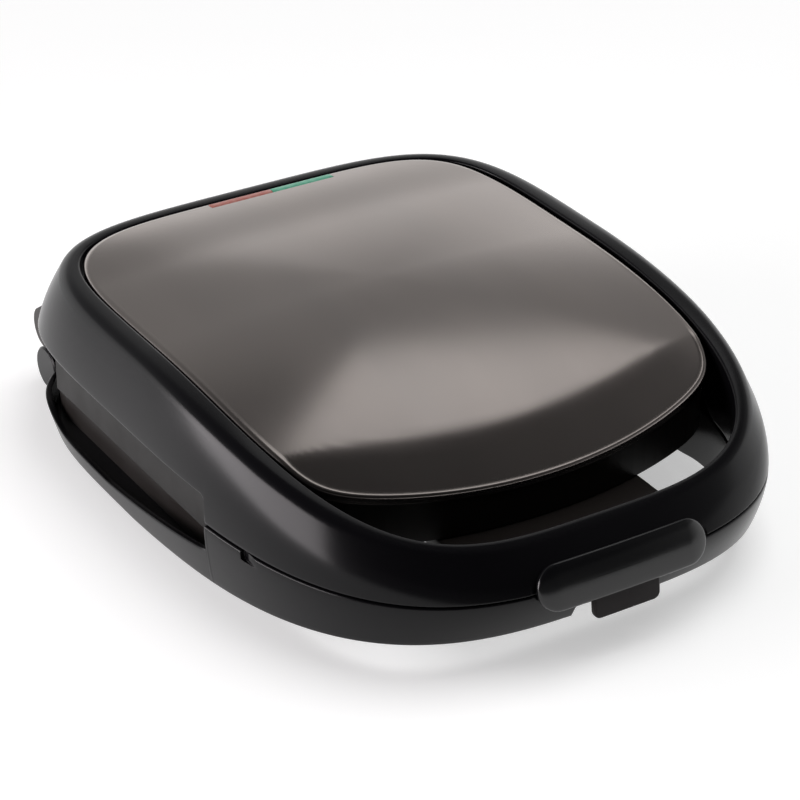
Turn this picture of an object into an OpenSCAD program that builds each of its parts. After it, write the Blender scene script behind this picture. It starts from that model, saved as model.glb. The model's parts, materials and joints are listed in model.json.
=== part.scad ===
// Sandwich toaster: hinged lid with a metal panel, a handle that runs round the front,
// a pill-shaped latch on the handle, and two lift-out cooking plates with heaters behind them.
// Millimetres, +Z up. The handle points to -Y. The origin lies on the table, under the middle of
// the whole toaster, latch and hinge included.

/* [Body outline] */
// Width over the parting line
body_w = 250; // [244:1:260]
// Reach of the lower handle in front of the body's middle line
handle_reach = 183; // [180:1:190]
// Reach of the body behind its middle line
rear_reach = 125; // [123:1:130]
// Height of the parting line between lid and base
seam_z = 37.4; // [36.8:0.1:39]
// Open gap between lid and base at the parting line
seam_gap = 0.7; // [0.6:0.1:1.2]
// Height of the lid's crease beside the panel
crease_z = 80; // [78:1:84]
// How far the crease falls from the body to the front of the handle
crease_fall = 27; // [22:1:29]
// How far the crease stands inside the parting line at the sides
crease_inset = 9.2; // [8.5:0.1:11]
// How far the crease stands inside the parting line at the front
crease_front_inset = 13.6; // [12:0.2:15]
// Swell of the lid's outer wall between the parting line and the crease
wall_swell = 2; // [1:0.5:2.5]
// Height of the base's lower edge behind the middle line
skirt_z = 3; // [2:0.5:4]
// How much higher the lower edge runs at the front of the handle
skirt_rise = 15.5; // [12:0.5:17]
// How far the base's lower edge stands inside the parting line
skirt_inset = 4.5; // [3:0.5:6]
// Thickness of the moulded walls
wall = 2.6; // [2.2:0.1:3]

/* [Handle gap] */
// Depth of the handle, front to back, at its top
handle_top_d = 18; // [16:0.5:20]
// Depth of the handle, front to back, at the parting line
handle_seam_d = 23; // [21:0.5:25]

/* [Panel] */
// Width of the lid's border beside the metal panel
panel_border = 20; // [18:0.5:23]
// Reach of the panel's front lip in front of the middle line
panel_front = 136; // [132:1:138]
// Radius of the front lip seen from above
lip_radius = 210; // [190:5:240]
// Depth of the lid's border behind the panel
rear_border = 18; // [16:0.5:21]
// Groove between the panel and the lid's rim
panel_groove = 1.2; // [0.8:0.1:1.6]
// Thickness of the panel's sheet
sheet = 1.2; // [1:0.1:1.5]
// Rise of the panel's middle over its edge
panel_crown = 5; // [4:0.5:6]
// How far the front lip hangs below the crease line
lip_drop = 5; // [4:0.5:7]
// Distance of the brow, where the panel starts to roll down, from the middle line
brow_y = 92; // [85:1:100]
// Width of the red and green windows together
window_w = 63; // [50:1:70]
// Depth of the windows, front to back
window_d = 4; // [3:0.5:5]

/* [Side recess] */
// Height of the lid's lower edge along the side recess
recess_top_z = 49.5; // [47:0.5:51]
// Lowest height of the base's upper edge along the side recess
recess_low_z = 11.5; // [11.5:0.25:13]
// How much higher that edge stands at the recess's front end
recess_climb = 13; // [11:0.5:14]
// Front end of the side recess, in front of the middle line
recess_front = 70.5; // [69:0.5:74]
// How far the cheeks beside the plates stand inside the body's sides
cheek_inset = 7.5; // [6.5:0.25:8]
// Height of the cheeks' lower edge
cheek_low_z = 29; // [28:0.5:31]
// Rear end of the cheeks, behind the middle line
cheek_rear = 77; // [76:0.5:78]

/* [Cooking plates] */
// How far a cooking plate's edge stands inside the body's side
plate_inset = 13; // [12.5:0.5:15]
// Depth of a cooking plate, front to back
plate_d = 138; // [134:1:138]
// Thickness of a cooking plate
plate_t = 2.5; // [2:0.1:2.8]
// Gap between the closed plates
plate_gap = 0.6; // [0.6:0.1:1]
// Flat border of a plate beside its bread pockets
pocket_border = 6.5; // [6:0.5:9]
// Depth of one bread pocket, front to back
pocket_d = 120; // [110:1:122]
// How deep a bread pocket is pressed
pocket_h = 13; // [10:0.5:13.5]
// Width of the sealing ridge across a pocket
ridge_w = 5; // [4:0.5:7]

/* [Heaters] */
// Diameter of the tubular heater
heater_d = 6.4; // [6:0.1:6.6]
// Width of the heater's loop
heater_w = 150; // [130:2:160]
// Depth of the heater's loop, front to back
heater_loop_d = 84; // [70:2:90]
// Bend radius of the heater
heater_bend = 18; // [14:1:24]
// Thickness of the reflector sheet
reflector_t = 0.8; // [0.6:0.1:1]

/* [Hinge] */
// How far the hinge axis stands in front of the body's rear
hinge_inset = 1; // [-1:0.5:2]
// Height of the hinge axis
hinge_z = 31; // [30:0.5:32]
// Diameter of the hinge pins
hinge_pin_d = 5; // [4:0.5:6]
// Outer radius of the lid's hinge knuckles
knuckle_r = 9.5; // [9:0.1:10]
// Width of a lid knuckle
knuckle_w = 18; // [16:1:19]
// How far a lid knuckle's inner face stands inside the body's side
knuckle_inset = 42.5; // [42:0.5:44]
// Running clearance of pins in their bores
pin_clearance = 0.1; // [0.05:0.01:0.15]

/* [Latch] */
// Width of the latch's pill
pill_w = 79; // [74:1:82]
// Height of the latch's pill
pill_h = 19; // [17:0.5:20]
// Thickness of the pill's cap
pill_t = 5; // [4:0.5:6]
// Lean of the pill's face back from upright
pill_lean = 20; // [16:1:22]
// Width of the finger tab under the pill
tab_w = 31; // [26:1:34]
// Diameter of the latch's pivot pin
latch_pin_d = 3; // [2.5:0.5:3.5]

/* [Feet and fasteners] */
// Diameter of the rubber feet
foot_d = 15; // [12:1:18]
// Height of the rubber feet
foot_h = 3; // [2.5:0.5:4]
// Diameter of the screw heads
screw_head_d = 6.4; // [5.5:0.1:7]
// Diameter of the screw shanks
screw_d = 3; // [2.5:0.1:3.5]

/* [Hidden] */
$fn = 48;
// points round each lofted loop
stations = 120;

// reach of cuts that have to clear the whole body
far = 300;

panel_w = body_w - 2 * panel_border;
panel_rear = rear_reach - rear_border;
cheek_w = body_w - 2 * cheek_inset;
plate_w = body_w - 2 * plate_inset;
pocket_w = (plate_w - ridge_w) / 2 - pocket_border;
hinge_y = rear_reach - hinge_inset;
knuckle_x = body_w / 2 - knuckle_inset;

// A loop seen from above: half width, front reach, rear reach, front power, rear power.
seam_loop = [body_w / 2, handle_reach, rear_reach, 3.04, 5.03];
crease_loop = [body_w / 2 - crease_inset, handle_reach - crease_front_inset,
    rear_reach - crease_inset, 3.32, 4.08];
skirt_loop = [body_w / 2 - skirt_inset, handle_reach - skirt_inset - 2,
    rear_reach - skirt_inset, 3.16, 4.33];
rim_loop = [panel_w / 2 + panel_groove - 0.5, handle_reach - handle_top_d,
    panel_rear + panel_groove, 3.65, 4.9];
grip_loop = [panel_w / 2 - 2.5, handle_reach - handle_seam_d, panel_rear - 3, 4.4, 4.9];

seam_low = seam_z - seam_gap / 2;
seam_top = seam_z + seam_gap / 2;

// heights of the plates and of what stands behind them
low_plate_top = seam_z - plate_gap / 2;
low_plate_z = low_plate_top - plate_t;
up_plate_z = seam_z + plate_gap / 2;
up_plate_top = up_plate_z + plate_t;
low_bump_z = low_plate_top - pocket_h - plate_t;
up_bump_z = up_plate_z + pocket_h + plate_t;
low_heater_z = low_bump_z - heater_d / 2 - 0.2;
up_heater_z = up_bump_z + heater_d / 2 + 0.2;

// base: shell floor, tray, cover
floor_z = 8.5;
tray_z = 11;
tray_floor = 13.5;
tray_w = body_w - 26;
tray_wall = 2.5;
tray_rear = rear_reach - 19;
tray_corner = 28;
tray_top = low_plate_z;
deck_top = seam_low - 0.3;
box_front = -recess_front + 1.5;
plate_y = 4.5;
plate_front = plate_y - plate_d / 2;
plate_rear = plate_y + plate_d / 2;
divider_y = plate_rear + 3;
tray_screw_x = body_w / 2 - 27;
apron_w = 92;
apron_front = handle_reach - handle_seam_d - 10;
apron_corner = 13;
apron_skirt = 7;
reflector_x = heater_w / 2 + 15;
reflector_y0 = plate_y - heater_loop_d / 2 - 18.5;
reflector_y1 = plate_y + heater_loop_d / 2 + 19.5;
cover_w = 160;
cover_front = -44;
cover_rear = 84;
cover_t = 2.5;
cover_screws = [[72, -41], [72, 81]];

// lid: housing
core_w = body_w - 45;
shelf_x = body_w / 2 - 10;
core_corner = 14;
deck_z = up_heater_z + heater_d / 2 + 1.5 + reflector_t;
deck_t = 2;
shoulder_z = up_bump_z + 0.4;
lip_centre = lip_radius - panel_front;
ledge_w = 8;
ledge_drop = 5;
ledge_t = 2.2;
ledge_front = -recess_front - 22;
post_angles = [-33, 4, 38];
window_shift = 7;
window_y = panel_rear - 4;
panel_rise = 1.4;
panel_sink = 0.8;

// latch
lean_out = [0, -cos(pill_lean), sin(pill_lean)];
lean_up = [0, sin(pill_lean), cos(pill_lean)];
pill_centre = [0, -handle_reach - 2.6, seam_z + 2.8];
latch_y = -handle_reach + 13;
latch_z = seam_z + 4.8;
barrel_r = 2.8;
backing_t = 1.4;
bow_radius = 520;
tab_low_z = 21;
catch_z = 31.2;

// feet
foot_places = [[body_w / 2 - 33, -55], [body_w / 2 - 40, rear_reach - 27]];
boss_r = foot_d / 2 + 2;

// hinge
lug_r = 10;
lug_z = skirt_z + 7.5;
ear_r = 8;
ear_x0 = knuckle_x - 18;
ear_x1 = knuckle_x - 2;
lead_x = ear_x0 + 10;
bracket_t = 2.5;

// centre of everything, front to back, placed on the origin
front_end = -pill_centre[1] + (pill_h / 2 - 1.08) * sin(pill_lean);
rear_end = hinge_y + lug_r;
y_shift = (front_end - rear_end) / 2;

gloss = [0.05, 0.05, 0.055];
matte = [0.11, 0.11, 0.12];
steel = [0.72, 0.73, 0.75];
plate_grey = [0.22, 0.22, 0.23];
rubber = [0.16, 0.16, 0.16];

// Helpers

function mix(p, q, s) = p + (q - p) * s;
function smooth(s) = let(t = min(1, max(0, s))) t * t * (3 - 2 * t);
function grown(loop, d) = [loop[0] + d, loop[1] + d, loop[2] + d, loop[3], loop[4]];
function powered(loop, a, reach, n) =
    pow(pow(abs(cos(a)) / loop[0], n) + pow(abs(sin(a)) / reach, n), -1 / n);
function reach_at(loop, a) = sin(a) < 0
    ? powered(loop, a, loop[1], loop[3]) : powered(loop, a, loop[2], loop[4]);
function loop_point(loop, a) = reach_at(loop, a) * [cos(a), sin(a)];
function width_at(loop, y) = y < 0
    ? loop[0] * pow(1 - pow(-y / loop[1], loop[3]), 1 / loop[3])
    : loop[0] * pow(1 - pow(y / loop[2], loop[4]), 1 / loop[4]);
function station_angle(i) = -90 + 360 * i / stations;
function crease_height(y) = crease_z - (y < 0 ? crease_fall * pow(y / crease_loop[1], 2) : 0);
function skirt_height(y) = skirt_z + (y < 0 ? skirt_rise * pow(-y / skirt_loop[1], 1.25) : 0);

// outer wall of the lid: s runs from the seam (0) to the crease (1), d goes into the wall
function lid_wall(a, s, d) =
    let(loop = grown(mix(seam_loop, crease_loop, s), wall_swell * sin(180 * s) - d),
        p = loop_point(loop, a))
    [p[0], p[1], mix(seam_top, crease_height(p[1]), s)];

// outer wall of the base: s runs from the seam (0) to the lower edge (1)
function base_wall(a, s, d) =
    let(loop = grown(mix(seam_loop, skirt_loop, pow(s, 1.6)), -d), p = loop_point(loop, a))
    [p[0], p[1], mix(seam_low, skirt_height(p[1]), s)];

// 0 along the body, 1 round the handle
function handle_share(a) =
    let(y = loop_point(rim_loop, a)[1]) smooth((-y - recess_front - 9.5) / 32);

function at_height(p, z) = [p[0], p[1], z];

// upper edge of the base along the side recess, and its rounded front corner
recess_corner = 4;
function recess_edge(y) = recess_low_z
    + recess_climb * pow(max(0, (20 - y) / (20 + recess_front)), 1.25)
    + 5 * smooth((y - 60) / 35);
recess_outline = concat(
    [[-recess_front, 60]],
    [for (t = [0 : 22.5 : 90])
        [-recess_front + recess_corner * (1 - cos(t)),
            recess_edge(-recess_front + recess_corner) + recess_corner * (1 - sin(t))]],
    [for (y = [-60 : 10 : 100]) [y, recess_edge(y)]],
    [[far, recess_edge(100)], [far, 60]]);

// distance from the middle to the panel's edge, with the lip cutting across the front
function lip_reach(a) = sin(a) * lip_centre
    + sqrt(lip_radius * lip_radius - pow(cos(a) * lip_centre, 2));
function panel_reach(a, d) =
    let(r1 = reach_at(grown(rim_loop, -panel_groove - d), a), r2 = lip_reach(a) - d)
    pow(pow(r1, -24) + pow(r2, -24), -1 / 24);
function panel_height(y, q) =
    crease_height(y) - panel_sink + panel_crown * (1 - q * q)
    - (lip_drop - panel_sink) * max(0, (-y - brow_y) / (panel_front - brow_y))
    + panel_rise * smooth((y - 60) / 45);
function panel_ring(q, d, drop) = [for (i = [0 : stations - 1])
    let(a = station_angle(i), r = q * panel_reach(a, d), p = r * [cos(a), sin(a)])
    [p[0], p[1], panel_height(p[1], q) - drop]];
function flat_ring(q, z) = [for (i = [0 : stations - 1])
    let(a = station_angle(i), r = q * panel_reach(a, 0)) [r * cos(a), r * sin(a), z]];

module placed() {
    translate([0, y_shift, 0]) children();
}

module both_sides() {
    children();
    mirror([1, 0, 0]) children();
}

module block(x0, x1, y0, y1, z0, z1) {
    translate([x0, y0, z0]) cube([x1 - x0, y1 - y0, z1 - z0]);
}

// closed tube whose sections all have the same number of points
module ring_loft(sections) {
    n = len(sections);
    m = len(sections[0]);
    polyhedron(
        points = [for (section = sections) for (p = section) p],
        faces = [for (i = [0 : n - 1]) for (j = [0 : m - 1])
            let(k = (i + 1) % n, l = (j + 1) % m)
            each [[i * m + j, i * m + l, k * m + j], [k * m + j, i * m + l, k * m + l]]]);
}

// solid through a stack of rings, closed flat at both ends
module stack_loft(rings) {
    m = len(rings);
    n = len(rings[0]);
    polyhedron(
        points = [for (ring = rings) for (p = ring) p],
        faces = concat(
            [for (k = [0 : m - 2]) for (i = [0 : n - 1])
                let(j = (i + 1) % n)
                each [[k * n + i, (k + 1) * n + i, k * n + j],
                    [k * n + j, (k + 1) * n + i, (k + 1) * n + j]]],
            [[for (i = [0 : n - 1]) i]],
            [[for (i = [n - 1 : -1 : 0]) (m - 1) * n + i]]));
}

// flat rounded rectangle between y0 and y1, corner radius r at the back and f at the front
module rounded_plan(w, y0, y1, r, f) {
    intersection() {
        union() {
            translate([-w / 2 + r, y0 + f]) square([w - 2 * r, y1 - y0 - f]);
            translate([-w / 2, min(y0 + f, y1 - r - 1)])
                square([w, max(y1 - r - y0 - f, 1)]);
            translate([-w / 2 + f, y0]) square([w - 2 * f, f + 1]);
            for (side = [-1, 1]) {
                translate([side * (w / 2 - r), y1 - r]) circle(r);
                translate([side * (w / 2 - f), y0 + f]) circle(f);
            }
        }
        translate([-w, y0]) square([2 * w, y1 - y0]);
    }
}

module rounded_slab(w, y0, y1, r, f, z0, z1) {
    translate([0, 0, z0]) linear_extrude(z1 - z0) rounded_plan(w, y0, y1, r, f);
}

// profile drawn in y and z, carried from x0 to x1
module side_profile(x0, x1, points) {
    translate([x0, 0, 0]) rotate([90, 0, 90]) linear_extrude(x1 - x0) polygon(points);
}

module bar_x(x0, x1, y, z, r) {
    translate([x0, y, z]) rotate([0, 90, 0]) cylinder(r = r, h = x1 - x0);
}

module bar_y(x, y0, y1, z, r) {
    translate([x, y0, z]) rotate([-90, 0, 0]) cylinder(r = r, h = y1 - y0);
}

module bar_z(x, y, z0, z1, r) {
    translate([x, y, z0]) cylinder(r = r, h = z1 - z0);
}

// round lead through the listed points
module lead(points, r) {
    for (i = [0 : len(points) - 2]) {
        run = points[i + 1] - points[i];
        translate(points[i])
            rotate([0, acos(run[2] / norm(run)), atan2(run[1], run[0])])
            cylinder(r = r, h = norm(run), $fn = 24);
    }
    for (i = [1 : len(points) - 2]) translate(points[i]) sphere(r = r, $fn = 24);
}

// pan-head screw with a cross slot, standing head up with its seat at z = 0
module screw(head_d, shank_d, reach) {
    difference() {
        union() {
            cylinder(d = head_d, h = head_d * 0.32);
            translate([0, 0, -reach]) cylinder(d = shank_d, h = reach + 0.1);
        }
        for (turn = [0, 90]) rotate([0, 0, turn])
            translate([-head_d * 0.3, -head_d * 0.07, head_d * 0.16])
            cube([head_d * 0.6, head_d * 0.14, head_d]);
    }
}

// slim stadium seen from the front, centred on the origin, growing along +Y
module stadium(w, h, depth) {
    rotate([-90, 0, 0]) union() {
        translate([-(w - h) / 2, -h / 2, 0]) cube([w - h, h, depth]);
        for (side = [-1, 1]) translate([side * (w - h) / 2, 0, 0]) cylinder(d = h, h = depth);
    }
}

// the same, lying flat and growing upwards
module stadium_up(w, h, depth) {
    translate([-(w - h) / 2, -h / 2, 0]) cube([w - h, h, depth]);
    for (side = [-1, 1]) translate([side * (w - h) / 2, 0, 0]) cylinder(d = h, h = depth);
}

// puts a stadium's frame on the leaning face of the pill, +Y pointing into the body
module on_pill() {
    translate(pill_centre) rotate([-pill_lean, 0, 0]) children();
}

// Base

function base_section(a) = let(
    outer = [for (s = [0, 0.3, 0.6, 0.85, 1]) base_wall(a, s, 0)],
    inner = [for (s = [1, 0.75, 0.4, 0]) base_wall(a, s, wall)],
    low = outer[4][2],
    web = seam_low - wall,
    grip = loop_point(grip_loop, a),
    grip_in = loop_point(grown(grip_loop, wall), a))
    concat(
        [for (k = [4 : -1 : 0]) outer[k]],
        [at_height(grip, seam_low), at_height(grip, low), at_height(grip_in, low),
            at_height(grip_in, web), at_height(inner[3], web)],
        [inner[2], inner[1], inner[0]]);

// wall that closes the handle's tube where the side recess begins
module base_end_wall() {
    y = -recess_front - wall;
    both_sides() translate([0, y + wall, 0]) rotate([90, 0, 0]) linear_extrude(wall)
        polygon([
            [grip_loop[0] - 6, floor_z],
            [width_at(skirt_loop, y) - wall / 2, floor_z],
            [width_at(seam_loop, y) - wall / 2 - 1, seam_low - wall * 2],
            [width_at(seam_loop, y) - wall / 2, seam_low - wall / 2],
            [grip_loop[0] - 2, seam_low - wall / 2]]);
}

module base_floor() {
    difference() {
        union() {
            translate([0, 0, floor_z]) linear_extrude(tray_z - floor_z)
                polygon([for (i = [0 : stations - 1])
                    let(p = base_wall(station_angle(i), 0.8, wall / 2))
                    [p[0], max(p[1], -recess_front)]]);
            for (place = foot_places) both_sides()
                bar_z(place[0], place[1], foot_h, floor_z + 1, boss_r);
            both_sides() {
                bar_x(knuckle_x, knuckle_x + knuckle_w, hinge_y, lug_z, lug_r);
                block(knuckle_x, knuckle_x + knuckle_w, hinge_y - 12, hinge_y,
                    lug_z - 6, tray_z);
            }
        }
        rounded_slab(cover_w - 20, cover_front + 8, cover_rear - 8, 6, 6, 0, 20);
        for (place = foot_places) both_sides() bar_z(place[0], place[1], 0, floor_z, 2.5);
        for (place = cover_screws) both_sides() bar_z(place[0], place[1], 0, 20, screw_d / 2);
        for (x = [-tray_screw_x, tray_screw_x]) for (y = [-59, 69]) bar_z(x, y, 0, 20, screw_d / 2);
    }
}

module base_shell() {
    placed() color(gloss) difference() {
        union() {
            difference() {
                ring_loft([for (i = [0 : stations - 1]) base_section(station_angle(i))]);
                // side recess, and the room under the floor
                side_profile(-far, far, recess_outline);
                translate([0, 0, -1]) linear_extrude(60)
                    polygon([for (i = [0 : stations - 1])
                        let(p = base_wall(station_angle(i), 0.8, wall))
                        [p[0], max(p[1], -recess_front)]]);
            }
            base_end_wall();
            base_floor();
            // thicker wall behind the pill's pocket, and the bar that the hook catches
            side_profile(-26, 26, [
                [-handle_reach + 2, catch_z], [-handle_reach + 4, catch_z],
                [-handle_reach + 5.2, seam_low], [-handle_reach + 2.4, seam_low]]);
        }
        // pocket behind the pill, window for the hook, notch for the finger tab
        on_pill() translate([0, -9, 0]) stadium(pill_w + 3, pill_h + 2, pill_t + 9.8);
        block(-10.5, 10.5, -handle_reach - 4, -handle_reach + 7, 20, catch_z);
        block(-tab_w / 2 - 4, tab_w / 2 + 4, -handle_reach - 4, -handle_reach + 14,
            0, tab_low_z + 4.5);
        // small notches in the rim, level with the front of the gap
        both_sides() block(width_at(seam_loop, -94) - 2, far, -108, -94, seam_low - 4, 60);
    }
}

module bottom_cover() {
    placed() color(matte) difference() {
        rounded_slab(cover_w, cover_front, cover_rear, 8, 8, floor_z - cover_t, floor_z);
        for (place = cover_screws) both_sides()
            bar_z(place[0], place[1], 0, 20, screw_d / 2);
        for (x = [-50, 0, 50]) for (k = [-3 : 3])
            block(x - 17, x + 17, 20 + k * 7 - 1.5, 20 + k * 7 + 1.5, 0, 20);
    }
}

// tongue-shaped plan of the apron, its edge moved in by d
module apron(d, z0, z1) {
    translate([0, 0, z0]) linear_extrude(z1 - z0) offset(delta = -d) polygon([
        [-apron_w / 2, box_front + 1], [-apron_w / 2, -apron_front + apron_corner],
        [-apron_w / 2 + apron_corner * 0.25, -apron_front + apron_corner * 0.35],
        [-apron_w / 2 + apron_corner, -apron_front],
        [apron_w / 2 - apron_corner, -apron_front],
        [apron_w / 2 - apron_corner * 0.25, -apron_front + apron_corner * 0.35],
        [apron_w / 2, -apron_front + apron_corner], [apron_w / 2, box_front + 1]]);
}

module lower_housing() {
    placed() color(matte) difference() {
        union() {
            difference() {
                rounded_slab(tray_w, box_front, tray_rear, tray_corner, 3, tray_z, tray_top);
                // plate well and rear bay
                rounded_slab(tray_w - 2 * tray_wall, box_front + tray_wall, divider_y,
                    3, 3, tray_floor, 60);
                rounded_slab(tray_w - 2 * tray_wall, divider_y + tray_wall,
                    tray_rear - tray_wall, tray_corner - tray_wall - 1, 0.5, tray_floor, 60);
            }
            // front rail, ledges under the plate's front and rear edges, rear deck
            block(-tray_w / 2 + 2, tray_w / 2 - 2, box_front, box_front + tray_wall,
                tray_top - 1, deck_top);
            block(-tray_w / 2 + 2, tray_w / 2 - 2, box_front + 1, plate_front + 3,
                tray_top - 3, tray_top);
            block(-tray_w / 2 + 2, tray_w / 2 - 2, plate_rear - 3, divider_y + 1,
                tray_top - 3, tray_top);
            for (x = [-60, 60]) block(x - 6, x + 6, plate_rear - 2.5, divider_y + 1,
                low_plate_top - 1.3, low_plate_top - 0.1);
            rounded_slab(tray_w - 0.4, divider_y, tray_rear, tray_corner, 0.5,
                tray_top - 0.5, deck_top);
            // apron that runs forward under the lid's front wall, with a skirt round its edge
            difference() {
                apron(0, deck_top - apron_skirt, deck_top);
                apron(2.2, deck_top - apron_skirt - 1, deck_top - 2.4);
            }
        }
        // slots for the plate's release buttons
        for (x = [-60, 60])
            block(x - 9, x + 9, box_front - 5, plate_front + 1.2, tray_top - 0.2, 60);
        // heater tails, cord, screws
        for (x = [-14, 14]) bar_y(x, 60, divider_y + 8, low_heater_z, heater_d / 2 + 0.5);
        bar_y(40, tray_rear - 10, tray_rear + 10, 22, 5);
        for (x = [-tray_screw_x, tray_screw_x]) for (y = [-59, 69]) bar_z(x, y, 0, 20, screw_d / 2);
        both_sides() for (x = [ear_x0 + 2.5, ear_x1 - 2.5])
            bar_y(x, tray_rear - 10, tray_rear + 10, 18, screw_d / 2);
    }
}

// Cooking plates: each bread pocket is split into two triangles by a diagonal ridge

function arc_between(centre, r, a0, a1) =
    [for (k = [0 : 4]) centre + r * [cos(mix(a0, a1, k / 4)), sin(mix(a0, a1, k / 4))]];

// triangle with rounded corners, moved in by d from the outline
function rounded_triangle(corners, r, d, z) = let(
    sides = [for (k = [0 : 2]) norm(corners[(k + 2) % 3] - corners[(k + 1) % 3])],
    total = sides[0] + sides[1] + sides[2],
    centre = (corners[0] * sides[0] + corners[1] * sides[1] + corners[2] * sides[2]) / total,
    half = total / 2,
    depth = sqrt((half - sides[0]) * (half - sides[1]) * (half - sides[2]) / half))
    [for (k = [0 : 2]) let(
        before = corners[k] - corners[(k + 2) % 3],
        after = corners[(k + 1) % 3] - corners[k],
        a0 = atan2(-before[0], before[1]),
        a1 = atan2(-after[0], after[1]),
        swing = a1 > a0 ? a1 : a1 + 360,
        middle = centre + (corners[k] - centre) * (1 - (d + r) / depth))
        each [for (p = arc_between(middle, r, a0, swing)) [p[0], p[1], z]]];

// one triangular pocket; z0 is the plate's face, way is 1 upwards and -1 downwards
module pocket(corners, z0, way, swell) {
    steps = way > 0
        ? [[-1, -0.5], [0.35, 0.4], [0.85, 4], [1, 9]]
        : [[1, 9], [0.85, 4], [0.35, 0.4], [-1, -0.5]];
    stack_loft([for (step = steps)
        rounded_triangle(corners, 7, step[1] - swell,
            z0 + way * (step[0] < 0 ? -1 : (pocket_h + swell) * step[0]))]);
}

module pockets(z0, way, swell) {
    w = pocket_w / 2;
    d = pocket_d / 2;
    r = ridge_w / 2;
    for (x = [-1, 1]) translate([x * (w + ridge_w / 2), plate_y, 0]) {
        pocket([[-w, -d + 2 * r], [w - 2 * r, d], [-w, d]], z0, way, swell);
        pocket([[-w + 2 * r, -d], [w, -d], [w, d - 2 * r]], z0, way, swell);
    }
}

module plate(z0, z1, face, way) {
    difference() {
        union() {
            rounded_slab(plate_w, plate_front, plate_rear, 6, 6, z0, z1);
            intersection() {
                pockets(face, way, plate_t);
                block(-200, 200, -200, 200, way > 0 ? z0 + 0.5 : 0, way > 0 ? 200 : z1 - 0.5);
            }
        }
        pockets(face, way, 0);
        // steps in the edges for the release buttons and the rear hooks
        for (x = [-60, 60]) for (y = [plate_front - 1, plate_rear - 3.5])
            block(x - 7, x + 7, y, y + 4.5,
                way > 0 ? z0 - 1 : z1 - 1.4, way > 0 ? z0 + 1.4 : z1 + 1);
    }
}

module lower_plate() {
    placed() color(plate_grey) plate(low_plate_z, low_plate_top, low_plate_top, -1);
}

// Tubular heater: a loop with its two ends at the back
module heater(z) {
    x = heater_w / 2;
    y0 = plate_y - heater_loop_d / 2;
    y1 = plate_y + heater_loop_d / 2;
    r = heater_bend;
    t = heater_d / 2;
    tail = 14;
    bar_x(-x + r, x - r, y0, z, t);
    both_sides() {
        bar_y(x, y0 + r, y1 - r, z, t);
        bar_x(tail + r, x - r, y1, z, t);
        bar_y(tail, y1 + r, divider_y + 7, z, t);
        translate([x - r, y0 + r, z]) rotate([0, 0, -90])
            rotate_extrude(angle = 90) translate([r, 0]) circle(t);
        translate([x - r, y1 - r, z]) rotate_extrude(angle = 90) translate([r, 0]) circle(t);
        translate([tail + r, y1 + r, z]) rotate([0, 0, 180])
            rotate_extrude(angle = 90) translate([r, 0]) circle(t);
    }
}

module heater_saddles(z_foot, z_top, z_rod, foot_up) {
    difference() {
        for (x = [-42, 42]) for (y = [-1, 1])
            translate([x, plate_y + y * heater_loop_d / 2, 0]) {
                block(-4, 4, -6, 6, min(z_foot, z_top), max(z_foot, z_top));
                block(-4, 4, -12, 12, min(z_foot, z_foot + foot_up), max(z_foot, z_foot + foot_up));
            }
        for (y = [-1, 1])
            bar_x(-60, 60, plate_y + y * heater_loop_d / 2, z_rod, heater_d / 2);
    }
}

module lower_element() {
    placed() color(steel) heater(low_heater_z);
}

module lower_reflector() {
    placed() color(steel) difference() {
        union() {
            block(-reflector_x, reflector_x, reflector_y0, reflector_y1,
                tray_floor, tray_floor + reflector_t);
            both_sides() block(reflector_x - reflector_t, reflector_x,
                reflector_y0, reflector_y1, tray_floor, tray_floor + 4);
        }
    }
}

module lower_element_clamps() {
    foot = tray_floor + reflector_t;
    placed() color(steel) heater_saddles(foot, low_heater_z + 1.6, low_heater_z, 0.8);
}

module thermostat() {
    z = tray_floor + reflector_t;
    placed() color([0.78, 0.76, 0.7]) union() {
        bar_z(0, plate_y, z, z + 4.4, 9);
        bar_z(0, plate_y, z + 4.4, z + 5.6, 7);
        both_sides() block(8, 12, plate_y - 1.5, plate_y + 1.5, z + 2, z + 2.8);
    }
}

module thermal_fuse() {
    z = tray_floor + reflector_t + 2.2;
    placed() color([0.86, 0.84, 0.78]) union() {
        bar_y(-30, plate_y - 8, plate_y + 8, z, 2.2);
        bar_y(-30, plate_y - 11, plate_y + 11, z, 0.7);
    }
}

module terminal_block() {
    placed() color([0.88, 0.87, 0.82]) difference() {
        union() {
            block(24, 56, tray_rear - 20, tray_rear - 8, tray_floor, tray_floor + 4);
            for (x = [26, 36, 46])
                block(x, x + 8, tray_rear - 20, tray_rear - 8, tray_floor + 3, tray_floor + 11);
        }
        for (x = [30, 40, 50]) {
            bar_y(x, tray_rear - 26, tray_rear - 2, tray_floor + 6, 1.4);
            bar_z(x, tray_rear - 14, tray_floor + 7.2, tray_floor + 20, 2);
        }
    }
}

module cord_gland() {
    placed() color(rubber) difference() {
        union() {
            bar_y(40, tray_rear - tray_wall, hinge_y - 1, 22, 5);
            bar_y(40, tray_rear, tray_rear + 2, 22, 7.5);
        }
        bar_y(40, tray_rear - 20, hinge_y + 10, 22, 3.6);
        for (y = [tray_rear + 5 : 4 : hinge_y - 5]) {
            block(34, 35.6, y, y + 1.2, 10, 40);
            block(44.4, 46, y, y + 1.2, 10, 40);
        }
    }
}

module base_leads() {
    z = low_heater_z;
    placed() color([0.75, 0.74, 0.7]) {
        lead([[14, divider_y + 7.1, z], [14, tray_rear - 15, z], [24, tray_rear - 15, z]], 1.2);
        lead([[-14, divider_y + 7.1, z], [-14, tray_rear - 11, z], [24, tray_rear - 11, z]], 1.2);
    }
}

module rubber_feet() {
    placed() color(rubber) for (place = foot_places) both_sides() {
        bar_z(place[0], place[1], 0, foot_h, foot_d / 2);
        bar_z(place[0], place[1], foot_h, floor_z, 2.5);
    }
}

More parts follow.
